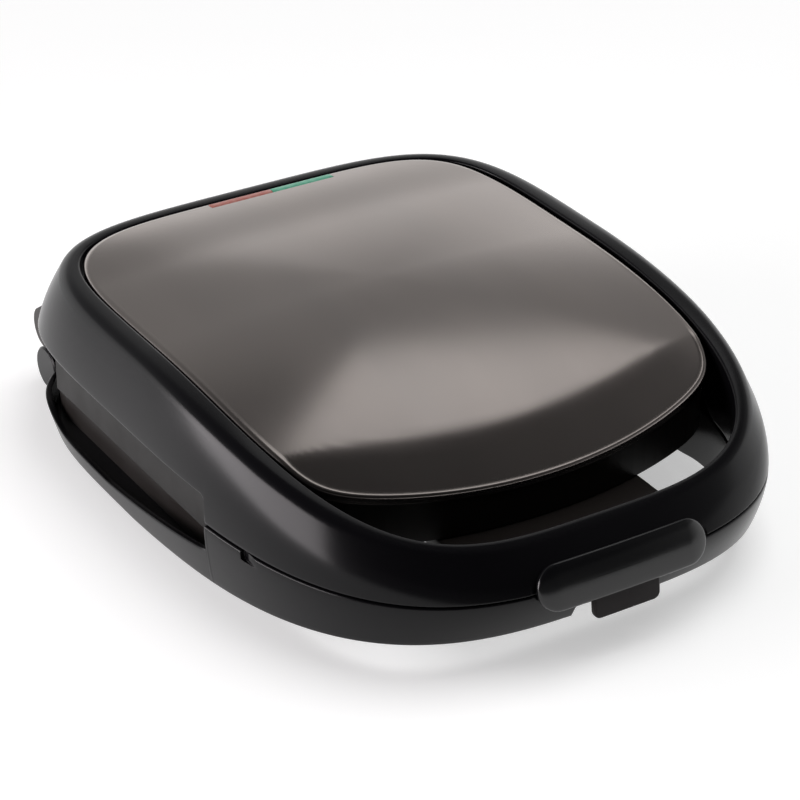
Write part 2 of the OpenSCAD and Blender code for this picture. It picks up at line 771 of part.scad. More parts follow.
module bottom_screws() {
    placed() color(steel) for (place = cover_screws) both_sides()
        translate([place[0], place[1], floor_z - cover_t]) rotate([180, 0, 0])
        screw(screw_head_d, screw_d, 4.5);
}

module tray_screws() {
    placed() color(steel) for (x = [-tray_screw_x, tray_screw_x]) for (y = [-59, 69])
        translate([x, y, tray_floor]) screw(screw_head_d, screw_d, 4.5);
}

module hinge_brackets() {
    placed() color(steel) both_sides() difference() {
        union() {
            side_profile(ear_x0, ear_x1, [
                [tray_rear, 24], [tray_rear, 34], [hinge_y - 2, hinge_z + ear_r],
                [hinge_y, hinge_z + ear_r], [hinge_y, hinge_z - ear_r],
                [hinge_y - 6, hinge_z - ear_r]]);
            bar_x(ear_x0, ear_x1, hinge_y, hinge_z, ear_r);
            block(ear_x0, ear_x1, tray_rear, tray_rear + bracket_t, tray_z + 2, 34);
        }
        bar_x(0, 200, hinge_y, hinge_z, hinge_pin_d / 2);
        for (x = [ear_x0 + 2.5, ear_x1 - 2.5])
            bar_y(x, tray_rear - 10, tray_rear + 10, 18, screw_d / 2);
    }
}

module hinge_bracket_screws() {
    placed() color(steel) both_sides() for (x = [ear_x0 + 2.5, ear_x1 - 2.5])
        translate([x, tray_rear + bracket_t, 18]) rotate([-90, 0, 0])
        screw(4.6, screw_d, bracket_t + tray_wall);
}

module hinge_pins() {
    placed() color(steel) both_sides()
        bar_x(ear_x0, knuckle_x + knuckle_w, hinge_y, hinge_z, hinge_pin_d / 2);
}

// Lid

function lid_section(a) = let(
    share = handle_share(a),
    outer = [for (s = [0, 0.25, 0.5, 0.75, 0.92]) lid_wall(a, s, 0)],
    crease = lid_wall(a, 1, 0),
    rim = loop_point(rim_loop, a),
    rim_z = crease_height(rim[1]),
    grip = loop_point(grip_loop, a),
    low = mix(rim, grip, share),
    low_z = mix(rim_z - ledge_drop - ledge_t, seam_top, share),
    out = rim / norm(rim),
    roof = mix(0.92, 0.55, share),
    roof_in = lid_wall(a, roof, wall),
    roof_z = roof_in[2])
    concat(outer,
        [crease, [rim[0], rim[1], rim_z], [low[0], low[1], low_z],
            at_height(low + out * wall, low_z),
            at_height(mix(rim, grip, share * 0.45) + out * wall, roof_z),
            roof_in, lid_wall(a, 0.4, wall), lid_wall(a, 0, wall)]);

// ledge under the panel's edge
function ledge_section(a) = let(
    out = loop_point(grown(rim_loop, 0.8), a),
    in = loop_point(grown(rim_loop, -ledge_w), a),
    z = crease_height(out[1]) - ledge_drop)
    [at_height(out, z - ledge_t), at_height(out, z), at_height(in, z), at_height(in, z - ledge_t)];

function post_place(a) = loop_point(grown(rim_loop, -5.4), a);
function post_top(a) = crease_height(loop_point(grown(rim_loop, 8), a)[1])
    - ledge_drop - ledge_t;

module lid_end_wall() {
    y = -recess_front - wall;
    both_sides() translate([0, y + wall, 0]) rotate([90, 0, 0]) linear_extrude(wall)
        polygon([
            [grip_loop[0] + 1.5, seam_top],
            [width_at(seam_loop, y) - wall / 2, seam_top],
            [width_at(seam_loop, y) - wall / 2 - 1.2, recess_top_z + 4],
            [grip_loop[0] + 1.5, recess_top_z + 4]]);
}

module lid_frame() {
    placed() color(gloss) difference() {
        union() {
            difference() {
                ring_loft([for (i = [0 : stations - 1]) lid_section(station_angle(i))]);
                block(-far, far, -recess_front, far, 0, recess_top_z);
            }
            difference() {
                ring_loft([for (i = [0 : stations - 1]) ledge_section(station_angle(i))]);
                block(-far, far, -far, ledge_front, 0, 100);
            }
            lid_end_wall();
            // thicker wall behind the pill's pocket
            both_sides() side_profile(11, 26, [
                [-handle_reach + 2.6, seam_top], [-handle_reach + 5.2, seam_top],
                [-handle_reach + 7.4, seam_top + 6.2], [-handle_reach + 4.8, seam_top + 6.2]]);
        }
        // room for the windows' holder
        block(window_shift - window_w / 2 - 3, window_shift + window_w / 2 + 3,
            window_y - 6, window_y + 4.4, 60, 90);
        for (a = post_angles) both_sides() {
            p = post_place(a);
            bar_z(p[0], p[1], 50, 100, screw_d / 2);
        }
        // pocket round the pill and window for the latch's neck
        on_pill() translate([0, -9, 0]) stadium(pill_w + 3, pill_h + 2, pill_t + 9.8);
        block(-12, 12, -handle_reach - 4, latch_y - 2, 30, seam_z + 9.4);
        block(-12, 12, latch_y - 3.2, latch_y + 3.6, 30, latch_z + barrel_r + 0.8);
    }
}

module lid_panel() {
    q_in = [0.04, 0.35, 0.62, 0.82, 0.94];
    low = ledge_drop - panel_sink - 0.2;
    placed() color([0.66, 0.62, 0.55]) difference() {
        stack_loft(concat(
            [flat_ring(0.03, crease_z - panel_sink + panel_crown - sheet)],
            [for (q = [0.3, 0.6, 0.8, 0.94]) panel_ring(q, 0, sheet)],
            [panel_ring(1, sheet + 0.6, sheet + 0.5)],
            [panel_ring(1, sheet, low)],
            [panel_ring(1, 0, low)],
            [panel_ring(1, 0, 1.2)],
            [panel_ring(1, 0.5, 0.2)],
            [for (q = [0.94, 0.8, 0.6, 0.3]) panel_ring(q, 0, 0)],
            [flat_ring(0.03, crease_z - panel_sink + panel_crown)]));
        block(window_shift - window_w / 2, window_shift + window_w / 2,
            window_y - window_d / 2, window_y + window_d / 2, 70, 100);
    }
}

function lip_y(x) = lip_centre - sqrt(lip_radius * lip_radius - x * x);

// room in front of the plates, just inside the panel's front lip; d moves its walls inward
module bay(d, z0, z1) {
    intersection() {
        translate([0, 0, z0]) linear_extrude(z1 - z0)
            polygon([for (i = [0 : stations - 1])
                loop_point(grown(grip_loop, -1.5 - d), station_angle(i))]);
        translate([0, 0, z0]) linear_extrude(z1 - z0)
            polygon([for (i = [0 : stations - 1])
                let(a = station_angle(i)) (panel_reach(a, 0) - sheet - 0.4 - d) * [cos(a), sin(a)]]);
        block(-far, far, -far, box_front + 1, z0, z1);
    }
}

module lid_housing() {
    inner = tray_w / 2 + 0.6;
    lid_floor = up_plate_z + 0.05;
    placed() color(gloss) difference() {
        union() {
            // front bay, its wall cut off just under the panel
            intersection() {
                difference() {
                    bay(0, lid_floor, 76);
                    bay(2.2, lid_floor + 2.5, 80);
                }
                translate([0, 0, 0]) rotate([90, 0, 0]) linear_extrude(200)
                    polygon(concat(
                        [for (x = [-110 : 10 : 110])
                            [x, panel_height(max(lip_y(x), -panel_front), 1) - sheet - 1]],
                        [[110, 0], [-110, 0]]));
            }
            // deck and the walls that carry it
            difference() {
                rounded_slab(core_w, box_front - 2, tray_rear, core_corner, 3,
                    shoulder_z, deck_z + deck_t);
                rounded_slab(core_w - 5, box_front + 0.5, tray_rear - 2.5,
                    core_corner - 2.5, 2, shoulder_z - 1, deck_z);
            }
            // shoulder and cheeks beside the plate
            both_sides() {
                block(core_w / 2 - 3, shelf_x, box_front, divider_y + 1,
                    shoulder_z, shoulder_z + 2);
                block(inner, cheek_w / 2, box_front, cheek_rear - 3, cheek_low_z, 48.5);
                block(inner, shelf_x, box_front, divider_y + 1, up_plate_z, shoulder_z + 2);
                block(inner - 2.6, inner + 0.1, box_front, divider_y + 1,
                    up_plate_top, shoulder_z + 1);
            }
            // rails in front of and behind the plate, ledges it seats on, rear hooks
            for (y = [box_front, divider_y]) block(-inner - 0.1, inner + 0.1, y, y + 2.5,
                lid_floor, shoulder_z + 2);
            block(-inner, inner, box_front + 1, plate_front + 3, up_plate_top, up_plate_top + 3);
            block(-inner, inner, plate_rear - 3, divider_y + 1, up_plate_top, up_plate_top + 3);
            for (x = [-60, 60]) block(x - 6, x + 6, plate_rear - 2.5, divider_y + 1,
                up_plate_z + 0.1, up_plate_z + 1.3);
            // rear bay
            difference() {
                rounded_slab(core_w, divider_y, tray_rear, core_corner, 0.5,
                    lid_floor, shoulder_z + 1);
                rounded_slab(core_w - 5, divider_y + 2.4, tray_rear - 2.5,
                    core_corner - 2.5, 0.5, lid_floor + 2.5, 80);
            }
            // posts under the ledge
            for (a = post_angles) both_sides() {
                p = post_place(a);
                bar_z(p[0], p[1], deck_z, post_top(a), 3.4);
            }
        }
        for (a = post_angles) both_sides() {
            p = post_place(a);
            bar_z(p[0], p[1], deck_z + 1, 100, screw_d / 2);
        }
        // slots for the plate's release buttons
        for (x = [-60, 60]) {
            block(x - 9, x + 9, box_front - 14, plate_front + 1.2, 0, up_plate_top + 0.6);
            block(x - 9, x + 9, box_front - 14, box_front + 2, 0, up_plate_top + 2.6);
        }
        both_sides() for (x = [knuckle_x + 4, knuckle_x + knuckle_w - 4])
            bar_y(x, tray_rear - 10, tray_rear + 10, 43.5, screw_d / 2);
        bar_y(lead_x + 1.5, tray_rear - 10, tray_rear + 10, 44, 3.6);
        for (x = [-14, 14]) bar_y(x, 60, divider_y + 8, up_heater_z, heater_d / 2 + 0.5);
    }
}

module upper_plate() {
    placed() color(plate_grey) plate(up_plate_z, up_plate_top, up_plate_z, 1);
}

module upper_element() {
    placed() color(steel) heater(up_heater_z);
}

module upper_reflector() {
    top = deck_z;
    placed() color(steel) {
        block(-reflector_x, reflector_x, reflector_y0, reflector_y1, top - reflector_t, top);
        both_sides() block(reflector_x - reflector_t, reflector_x,
            reflector_y0, reflector_y1, top - 4, top);
    }
}

module upper_element_clamps() {
    foot = deck_z - reflector_t;
    placed() color(steel) heater_saddles(foot, up_heater_z - 1.6, up_heater_z, -0.8);
}

module lens(x0, x1) {
    z = crease_z - ledge_drop + 1;
    block(x0, x1, window_y - window_d / 2, window_y + window_d / 2, z,
        panel_height(window_y, 0.97) + 0.5);
    block(x0, x1, window_y - window_d / 2 - 1.2, window_y + window_d / 2 + 0.1, z, z + 1.4);
}

module red_lens() {
    placed() color([0.8, 0.05, 0.05])
        lens(window_shift - window_w / 2, window_shift - 0.1);
}

module green_lens() {
    placed() color([0.1, 0.6, 0.2])
        lens(window_shift + 0.1, window_shift + window_w / 2);
}

module lamp_holder() {
    x = window_w / 2 + 1.5;
    top = crease_z - ledge_drop + 1;
    placed() color(matte) translate([window_shift, 0, 0]) difference() {
        block(-x, x, window_y - 5, window_y + 3.5, deck_z + deck_t, top);
        for (side = [-1, 1]) block(side * x / 2 - x / 2 + 1.5, side * x / 2 + x / 2 - 1.5,
            window_y - 3.5, window_y + 2, top - 8, top + 1);
    }
}

module indicator_lamps() {
    z = crease_z - ledge_drop - 7 + 2.4;
    placed() color([0.95, 0.8, 0.6]) for (x = [-1, 1])
        translate([window_shift + x * window_w / 4, 0, 0]) {
            bar_x(-8, 6, window_y - 0.75, z, 2.4);
            translate([6, window_y - 0.75, z]) sphere(2.4);
        }
}

module lid_screws() {
    placed() color(steel) for (a = post_angles) both_sides() {
        p = post_place(a);
        translate([p[0], p[1], crease_height(p[1]) - ledge_drop]) screw(4.6, screw_d, 7.9);
    }
}

module hinge_arms() {
    placed() color(matte) both_sides() difference() {
        union() {
            bar_x(knuckle_x, knuckle_x + knuckle_w, hinge_y, hinge_z, knuckle_r);
            side_profile(knuckle_x, knuckle_x + knuckle_w, [
                [tray_rear + 1.5, hinge_z], [tray_rear + 1.5, seam_top + 0.4],
                [tray_rear, seam_top + 0.4], [tray_rear, recess_top_z - 1],
                [tray_rear + 9, recess_top_z - 1], [hinge_y + 5.5, hinge_z + 7.7],
                [hinge_y, hinge_z]]);
        }
        bar_x(0, 200, hinge_y, hinge_z, hinge_pin_d / 2 + pin_clearance);
        for (x = [knuckle_x + 4, knuckle_x + knuckle_w - 4]) {
            bar_y(x, tray_rear - 1, 200, 43.5, screw_d / 2);
            bar_y(x, tray_rear + 3, 200, 43.5, 2.6);
        }
    }
}

module hinge_arm_screws() {
    placed() color(steel) both_sides()
        for (x = [knuckle_x + 4, knuckle_x + knuckle_w - 4])
            translate([x, tray_rear + 3, 43.5]) rotate([-90, 0, 0]) screw(4.6, screw_d, 5.5);
}

module upper_leads() {
    z = up_heater_z;
    placed() color([0.75, 0.74, 0.7]) {
        lead([[-14, divider_y + 7.1, z], [-14, tray_rear - 10, z], [lead_x, tray_rear - 10, z],
            [lead_x, tray_rear - 10, 44], [lead_x, tray_rear + 1, 44]], 1.2);
        lead([[14, divider_y + 7.1, z], [14, tray_rear - 16, z], [lead_x + 3, tray_rear - 16, z],
            [lead_x + 3, tray_rear - 16, 44], [lead_x + 3, tray_rear + 1, 44]], 1.2);
    }
}

// Release buttons: pulled towards the handle they let go of the plate's front edge

module lower_button() {
    block(-7.5, 7.5, box_front - 2.5, box_front + 2.4, tray_top + 0.2, deck_top);
    block(-6, 6, box_front + 2, plate_front + 2.5, low_plate_top - 1.2, low_plate_top - 0.2);
    block(-7.5, 7.5, box_front - 4, box_front - 2, tray_top - 4, deck_top);
}

module upper_button() {
    block(-7.5, 7.5, box_front - 9, box_front + 2.4, up_plate_z + 0.3, up_plate_top);
    block(-6, 6, box_front + 2, plate_front + 2.5, up_plate_z + 0.2, up_plate_z + 1.2);
    for (y = [box_front - 8 : 2.4 : box_front - 2])
        block(-6.5, 6.5, y, y + 1.1, up_plate_z + 0.3, up_plate_top + 1);
}

module lower_release_left() {
    placed() color(matte) translate([-60, 0, 0]) lower_button();
}

module lower_release_right() {
    placed() color(matte) translate([60, 0, 0]) lower_button();
}

module upper_release_left() {
    placed() color(matte) translate([-60, 0, 0]) upper_button();
}

module upper_release_right() {
    placed() color(matte) translate([60, 0, 0]) upper_button();
}

// Latch: the pill and its lever turn on a pin inside the lid's half of the handle

module on_face() {
    translate(pill_centre) rotate([90 - pill_lean, 0, 0]) children();
}

module latch_cap() {
    thick = pill_t - backing_t;
    placed() color(gloss) on_face() translate([0, 0, -thick]) intersection() {
        union() {
            stadium_up(pill_w, pill_h, thick - 0.8);
            stadium_up(pill_w - 1.4, pill_h - 1.4, thick);
        }
        translate([0, 0, thick - bow_radius]) rotate([90, 0, 0])
            cylinder(r = bow_radius, h = 2 * pill_h, center = true, $fn = 360);
    }
}

module latch_lever() {
    cap_back = pill_t - backing_t;
    front_y = -handle_reach;
    placed() color([0.13, 0.12, 0.12]) difference() {
        union() {
            on_pill() translate([0, cap_back, 0]) stadium(pill_w - 4, pill_h - 3, backing_t);
            bar_x(-10.5, 10.5, latch_y, latch_z, barrel_r);
            side_profile(-10.5, 10.5, [
                [latch_y, latch_z - barrel_r + 0.1], [latch_y, latch_z + 2.4],
                [front_y + 3.6, seam_z + 6.8], [front_y + 1.4, seam_top + 0.7],
                [front_y + 4.5, seam_top + 0.7]]);
            // finger tab and hook
            side_profile(-tab_w / 2, tab_w / 2, [
                [front_y - 1.3, 33], [front_y - 0.5, 33.2], [front_y - 0.5, 30],
                [front_y - 1.6, tab_low_z], [front_y - 4, tab_low_z],
                [front_y - 4, 29.6], [front_y - 2.6, 29.6]]);
            side_profile(-9.5, 9.5, [
                [front_y - 1, 25.5], [front_y - 1, catch_z - 2.2],
                [front_y + 2.8, catch_z - 2.7], [front_y + 2.8, 27],
                [front_y + 1, 25.5]]);
        }
        bar_x(-20, 20, latch_y, latch_z, latch_pin_d / 2 + pin_clearance);
    }
}

module latch_brackets() {
    roof = lid_wall(-90, 0.55, wall)[2] - 0.05;
    placed() color(steel) both_sides() difference() {
        union() {
            block(11, 24, latch_y - 3.4, latch_y + 3.6, roof - 1.4, roof);
            block(11, 13.4, latch_y - 3, latch_y + 3, latch_z - 3, roof);
        }
        bar_x(-20, 20, latch_y, latch_z, latch_pin_d / 2);
    }
}

module latch_pin() {
    placed() color(steel) bar_x(-13.4, 13.4, latch_y, latch_z, latch_pin_d / 2);
}

module latch_spring() {
    placed() color(steel) side_profile(-4, 4, [
        [latch_y + 4.7, latch_z + 2.6], [latch_y + 4.3, latch_z + 2.6],
        [latch_y + 3.9, latch_z - 1.9], [latch_y + 0.5, latch_z - 3.2],
        [latch_y + 0.6, latch_z - 3.6], [latch_y + 4.3, latch_z - 2.2]]);
}

base_shell();
bottom_cover();
lower_housing();
lower_plate();
lower_element();
lower_reflector();
lower_element_clamps();
thermostat();
thermal_fuse();
terminal_block();
cord_gland();
base_leads();
rubber_feet();
bottom_screws();
tray_screws();
hinge_brackets();
hinge_bracket_screws();
hinge_pins();
lid_frame();
lid_panel();
lid_housing();
upper_plate();
upper_element();
upper_reflector();
upper_element_clamps();
red_lens();
green_lens();
lamp_holder();
indicator_lamps();
lid_screws();
hinge_arms();
hinge_arm_screws();
upper_leads();
latch_brackets();
latch_pin();
latch_spring();
latch_cap();
latch_lever();
lower_release_left();
lower_release_right();
upper_release_left();
upper_release_right();
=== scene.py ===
# Sandwich toaster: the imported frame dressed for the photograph's view.
# Sizes in this file are millimetres until mm() turns them into Blender's metres.
import json
import math

import bmesh
import bpy
import numpy as np
from mathutils import Matrix, Vector


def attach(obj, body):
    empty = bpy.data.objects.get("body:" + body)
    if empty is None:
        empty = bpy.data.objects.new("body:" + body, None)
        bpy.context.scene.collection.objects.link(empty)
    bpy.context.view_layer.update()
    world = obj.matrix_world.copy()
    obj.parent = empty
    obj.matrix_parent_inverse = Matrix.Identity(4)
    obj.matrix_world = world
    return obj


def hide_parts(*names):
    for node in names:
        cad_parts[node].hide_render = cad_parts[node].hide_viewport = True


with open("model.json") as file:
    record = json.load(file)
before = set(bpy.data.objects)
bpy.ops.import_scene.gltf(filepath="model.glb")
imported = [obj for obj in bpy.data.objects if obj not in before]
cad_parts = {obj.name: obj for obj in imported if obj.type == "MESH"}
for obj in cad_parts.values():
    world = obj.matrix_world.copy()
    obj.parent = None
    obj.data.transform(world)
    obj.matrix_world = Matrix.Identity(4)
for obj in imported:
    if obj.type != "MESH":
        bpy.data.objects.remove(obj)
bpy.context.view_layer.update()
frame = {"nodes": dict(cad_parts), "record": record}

SHIFT = 27.24  # the body's middle line lies this far behind the origin

# ---------------------------------------------------------------- camera
AIM = Vector((20.86, 14.65 + SHIFT, 10.41)) / 1000
TURN, RISE = math.radians(-31.70), math.radians(29.53)
camera_data = bpy.data.cameras.new("photo_camera")
camera_data.sensor_width = 36.0
camera_data.lens = 2797.2 * 36.0 / 800.0
camera_data.clip_start, camera_data.clip_end = 0.05, 50.0
camera = bpy.data.objects.new("photo_camera", camera_data)
bpy.context.scene.collection.objects.link(camera)
bpy.context.scene.camera = camera
back = Vector((math.sin(TURN) * math.cos(RISE), -math.cos(TURN) * math.cos(RISE), math.sin(RISE)))
camera.location = AIM + back * 1.244
camera.rotation_mode = "QUATERNION"
camera.rotation_quaternion = (-back).to_track_quat("-Z", "Y")

# ---------------------------------------------------------------- outlines of the body
# half width, front reach, rear reach, front power, rear power
SEAM = (125.0, 183.0, 125.0, 3.04, 5.03)
CREASE = (115.8, 169.4, 115.8, 3.32, 4.08)
SKIRT = (120.5, 176.5, 120.5, 3.16, 4.33)
RIM = (105.7, 165.0, 108.2, 3.65, 4.9)
GRIP = (102.5, 160.0, 104.0, 4.4, 4.9)
SEAM_LOW, SEAM_TOP = 37.05, 37.75
WALL = 2.6
RECESS_Y = -70.5
LIP_RADIUS, LIP_CENTRE = 210.0, 74.0


def mix(p, q, s):
    return p + (q - p) * s


def smooth(s):
    t = min(1.0, max(0.0, s))
    return t * t * (3 - 2 * t)


def loop_mix(p, q, s, grow=0.0):
    m = [mix(p[k], q[k], s) for k in range(5)]
    return (m[0] + grow, m[1] + grow, m[2] + grow, m[3], m[4])


def reach(loop, a):
    c, s = abs(math.cos(a)), math.sin(a)
    far, n = (loop[1], loop[3]) if s < 0 else (loop[2], loop[4])
    return ((c / loop[0]) ** n + (abs(s) / far) ** n) ** (-1 / n)


def on_loop(loop, a):
    r = reach(loop, a)
    return r * math.cos(a), r * math.sin(a)


def crease_height(y):
    return 80.0 - (27.0 * (y / CREASE[1]) ** 2 if y < 0 else 0.0)


def skirt_height(y):
    return 3.0 + (15.5 * (-y / SKIRT[1]) ** 1.25 if y < 0 else 0.0)


def lid_wall(a, s, inset=0.0):
    loop = loop_mix(SEAM, CREASE, s, 2.0 * math.sin(math.pi * s) - inset)
    x, y = on_loop(loop, a)
    return Vector((x, y, mix(SEAM_TOP, crease_height(y), s)))


def base_wall(a, s, inset=0.0):
    x, y = on_loop(loop_mix(SEAM, SKIRT, s ** 1.6, -inset), a)
    return Vector((x, y, mix(SEAM_LOW, skirt_height(y), s)))


def stations(count, sharp=()):
    """Angles round the body, with a tight pair of stations at each sharp angle."""
    angles = [-math.pi / 2 + 2 * math.pi * i / count for i in range(count)]
    for a in sharp:
        angles = [b for b in angles if abs(b - a) > 0.012]
        angles += [a - 0.009, a - 0.003, a + 0.003, a + 0.009]
    return sorted(angles)


# the side recess begins where the outline crosses RECESS_Y
def angle_at(loop, y):
    low, high = -math.pi / 2, 0.0
    for _ in range(40):
        mid = (low + high) / 2
        if on_loop(loop, mid)[1] < y:
            low = mid
        else:
            high = mid
    return (low + high) / 2


RECESS_RIGHT = angle_at(SEAM, RECESS_Y)
RECESS_LEFT = -math.pi - RECESS_RIGHT + 2 * math.pi


# ---------------------------------------------------------------- mesh making
class Shells:
    """Gathers the closed shells that make up one moulded piece."""

    def __init__(self):
        self.points, self.faces = [], []

    def add(self, points, faces):
        first = len(self.points)
        self.points += [Vector(p) for p in points]
        self.faces += [[first + i for i in face] for face in faces]
        return self

    def hoop(self, sections):
        """Tube bent into a closed hoop, every section with as many points."""
        n, m = len(sections), len(sections[0])
        return self.add(
            [p for section in sections for p in section],
            [[i * m + j, ((i + 1) % n) * m + j, ((i + 1) % n) * m + (j + 1) % m, i * m + (j + 1) % m]
             for i in range(n) for j in range(m)])

    def run(self, sections):
        """Open run of sections with flat ends."""
        n, m = len(sections), len(sections[0])
        sides = [[i * m + j, (i + 1) * m + j, (i + 1) * m + (j + 1) % m, i * m + (j + 1) % m]
                 for i in range(n - 1) for j in range(m)]
        ends = [list(range(m)), [(n - 1) * m + j for j in reversed(range(m))]]
        return self.add([p for section in sections for p in section], sides + ends)

    def prism(self, outline, way):
        """Flat outline carried along the vector called way."""
        return self.run([outline, [Vector(p) + Vector(way) for p in outline]])

    def rod(self, start, end, radius, count=32):
        start, end = Vector(start), Vector(end)
        turn = (end - start).to_track_quat("Z", "Y")
        ring = [turn @ Vector((radius * math.cos(t), radius * math.sin(t), 0))
                for t in (2 * math.pi * k / count for k in range(count))]
        return self.run([[start + p for p in ring], [end + p for p in ring]])


def piece(name, shells, angle=32, outward=True):
    mesh = bpy.data.meshes.new(name)
    mesh.from_pydata([((p.x) / 1000, (p.y + SHIFT) / 1000, p.z / 1000) for p in shells.points],
                     [], shells.faces)
    bm = bmesh.new()
    bm.from_mesh(mesh)
    bmesh.ops.remove_doubles(bm, verts=bm.verts, dist=1e-7)
    if outward:
        bmesh.ops.recalc_face_normals(bm, faces=bm.faces)
    bm.to_mesh(mesh)
    bm.free()
    obj = bpy.data.objects.new(name, mesh)
    bpy.context.scene.collection.objects.link(obj)
    shade(obj, angle)
    return obj


def shade(obj, angle):
    obj.data.shade_smooth()
    obj.data.set_sharp_from_angle(angle=math.radians(angle))


def settle(obj):
    """Turns an object and its modifiers into a plain mesh."""
    bpy.context.view_layer.update()
    made = bpy.data.meshes.new_from_object(
        obj.evaluated_get(bpy.context.evaluated_depsgraph_get()))
    obj.modifiers.clear()
    obj.data = made
    return obj


def carve(obj, cutters, angle=32, how="DIFFERENCE"):
    for cutter in cutters:
        step = obj.modifiers.new("cut", "BOOLEAN")
        step.operation, step.solver, step.object = how, "EXACT", cutter
    settle(obj)
    for cutter in cutters:
        bpy.data.objects.remove(cutter)
    shade(obj, angle)
    return obj


def soften(corners, steps=4):
    """Rounds the corners of a closed section; each corner is (point, radius)."""
    count = len(corners)
    made = []
    for i, (p, radius) in enumerate(corners):
        if radius <= 0:
            made.append(p)
            continue
        before = corners[i - 1][0] - p
        after = corners[(i + 1) % count][0] - p
        cut = min(radius, before.length * 0.48, after.length * 0.48)
        q0, q1 = p + before.normalized() * cut, p + after.normalized() * cut
        for k in range(steps + 1):
            t = k / steps
            made.append(q0 * (1 - t) ** 2 + p * (2 * t * (1 - t)) + q1 * t * t)
    return made


def block(x0, x1, y0, y1, z0, z1, radius=0.0, along=None):
    """Block, its four edges along one axis rounded where a radius is given."""
    shells = Shells()
    spans = {"x": (y0, y1, z0, z1), "y": (z0, z1, x0, x1), "z": (x0, x1, y0, y1)}
    axis = along or "z"
    u0, u1, v0, v1 = spans[axis]
    place = {"x": lambda u, v, w: Vector((w, u, v)), "y": lambda u, v, w: Vector((v, w, u)),
             "z": lambda u, v, w: Vector((u, v, w))}[axis]
    w0, w1 = {"x": (x0, x1), "y": (y0, y1), "z": (z0, z1)}[axis]
    ring = soften([(Vector((u, v, 0)), radius) for u, v in ((u0, v0), (u1, v0), (u1, v1), (u0, v1))],
                  6) if radius > 0 else [Vector((u, v, 0)) for u, v in
                                         ((u0, v0), (u1, v0), (u1, v1), (u0, v1))]
    return shells.run([[place(p.x, p.y, w) for p in ring] for w in (w0, w1)])


def stadium(width, height, count=20):
    """Outline of a stadium in its own plane, counter-clockwise."""
    r, half = height / 2, (width - height) / 2
    right = [(half + r * math.cos(t), r * math.sin(t))
             for t in (-math.pi / 2 + math.pi * k / count for k in range(count + 1))]
    left = [(-half + r * math.cos(t), r * math.sin(t))
            for t in (math.pi / 2 + math.pi * k / count for k in range(count + 1))]
    top = [(half * (1 - 2 * k / 12), r) for k in range(1, 12)]
    low = [(-half * (1 - 2 * k / 12), -r) for k in range(1, 12)]
    return right + top + left + low


LEAN = math.radians(20)
PILL = Vector((0, -185.6, 40.2))
PILL_OUT = Vector((0, -math.cos(LEAN), math.sin(LEAN)))
PILL_UP = Vector((0, math.sin(LEAN), math.cos(LEAN)))


def on_pill(u, v, out):
    return PILL + Vector((u, 0, 0)) + PILL_UP * v + PILL_OUT * out


def pill_cutter():
    outline = stadium(83.2, 22.4)
    return piece("pocket_cutter", Shells().run(
        [[on_pill(u, v, out) for u, v in outline] for out in (12.0, -5.8)]))


def cutter(*values, **more):
    return piece("cutter", block(*values, **more))


# ---------------------------------------------------------------- lid frame
LEDGE = 7.2
RECESS_TOP = 49.5


def handle_share(a):
    return smooth((-on_loop(RIM, a)[1] - 80) / 32)


def recess_curve(y, level, far, radius=4.0):
    """Height of the recess's edge at y, with a rounded corner at its front end."""
    run = y - RECESS_Y
    if run <= 0:
        return far
    if run >= radius:
        return level
    drop = radius - math.sqrt(radius * radius - (radius - run) ** 2)
    return level + (drop if far > level else -drop)


def recess_edge(y):
    """Height of the base's upper edge along the side recess."""
    climb = max(0.0, (20 - y) / (20 - RECESS_Y)) ** 1.25
    return 11.5 + 13 * climb + 5 * smooth((y - 60) / 35)


def frame_angles(count=400):
    return stations(count, (RECESS_LEFT, RECESS_RIGHT))


def lid_section(a):
    share = handle_share(a)
    wall_y = on_loop(SEAM, a)[1]
    foot = recess_curve(wall_y, RECESS_TOP, SEAM_TOP)
    low_s = (foot - SEAM_TOP) / (crease_height(wall_y) - SEAM_TOP)
    top_s = mix(0.75, 0.62, share)
    outer = [(lid_wall(a, mix(low_s, top_s, k)), 2.1 if k == 0 else 0)
             for k in (0, 0.17, 0.3, 0.45, 0.6, 0.75, 0.88, 1)]
    rim, grip = Vector((*on_loop(RIM, a), 0)), Vector((*on_loop(GRIP, a), 0))
    rim.z = crease_height(rim.y)
    low = rim.lerp(grip, share)
    low.z = mix(rim.z - LEDGE, SEAM_TOP, share)
    out = Vector((rim.x, rim.y, 0)).normalized()
    inner_low = low + out * WALL
    roof_s = mix(0.92, 0.55, share)
    roof_in = lid_wall(a, roof_s, WALL)
    roof_out = rim.lerp(grip, share * 0.45) + out * WALL
    roof_out.z = roof_in.z
    inner = [(lid_wall(a, mix(low_s, roof_s, 0.6), WALL), 0), (lid_wall(a, low_s + 0.14, WALL), 0.8),
             (lid_wall(a, low_s + 0.06, 4.6), 0.5), (lid_wall(a, low_s, 4.6), 0.5)]
    return soften(outer + [(lid_wall(a, 1.0), mix(5.2, 4.4, share)), (rim, mix(1.2, 1.8, share)),
                           (low, 1.0 * share + 0.2),
                           (inner_low, 0.4), (roof_out, 0.4), (roof_in, 0.4)] + inner, 6)


def width_at(loop, y):
    far, n = (loop[1], loop[3]) if y < 0 else (loop[2], loop[4])
    return loop[0] * (1 - (abs(y) / far) ** n) ** (1 / n)


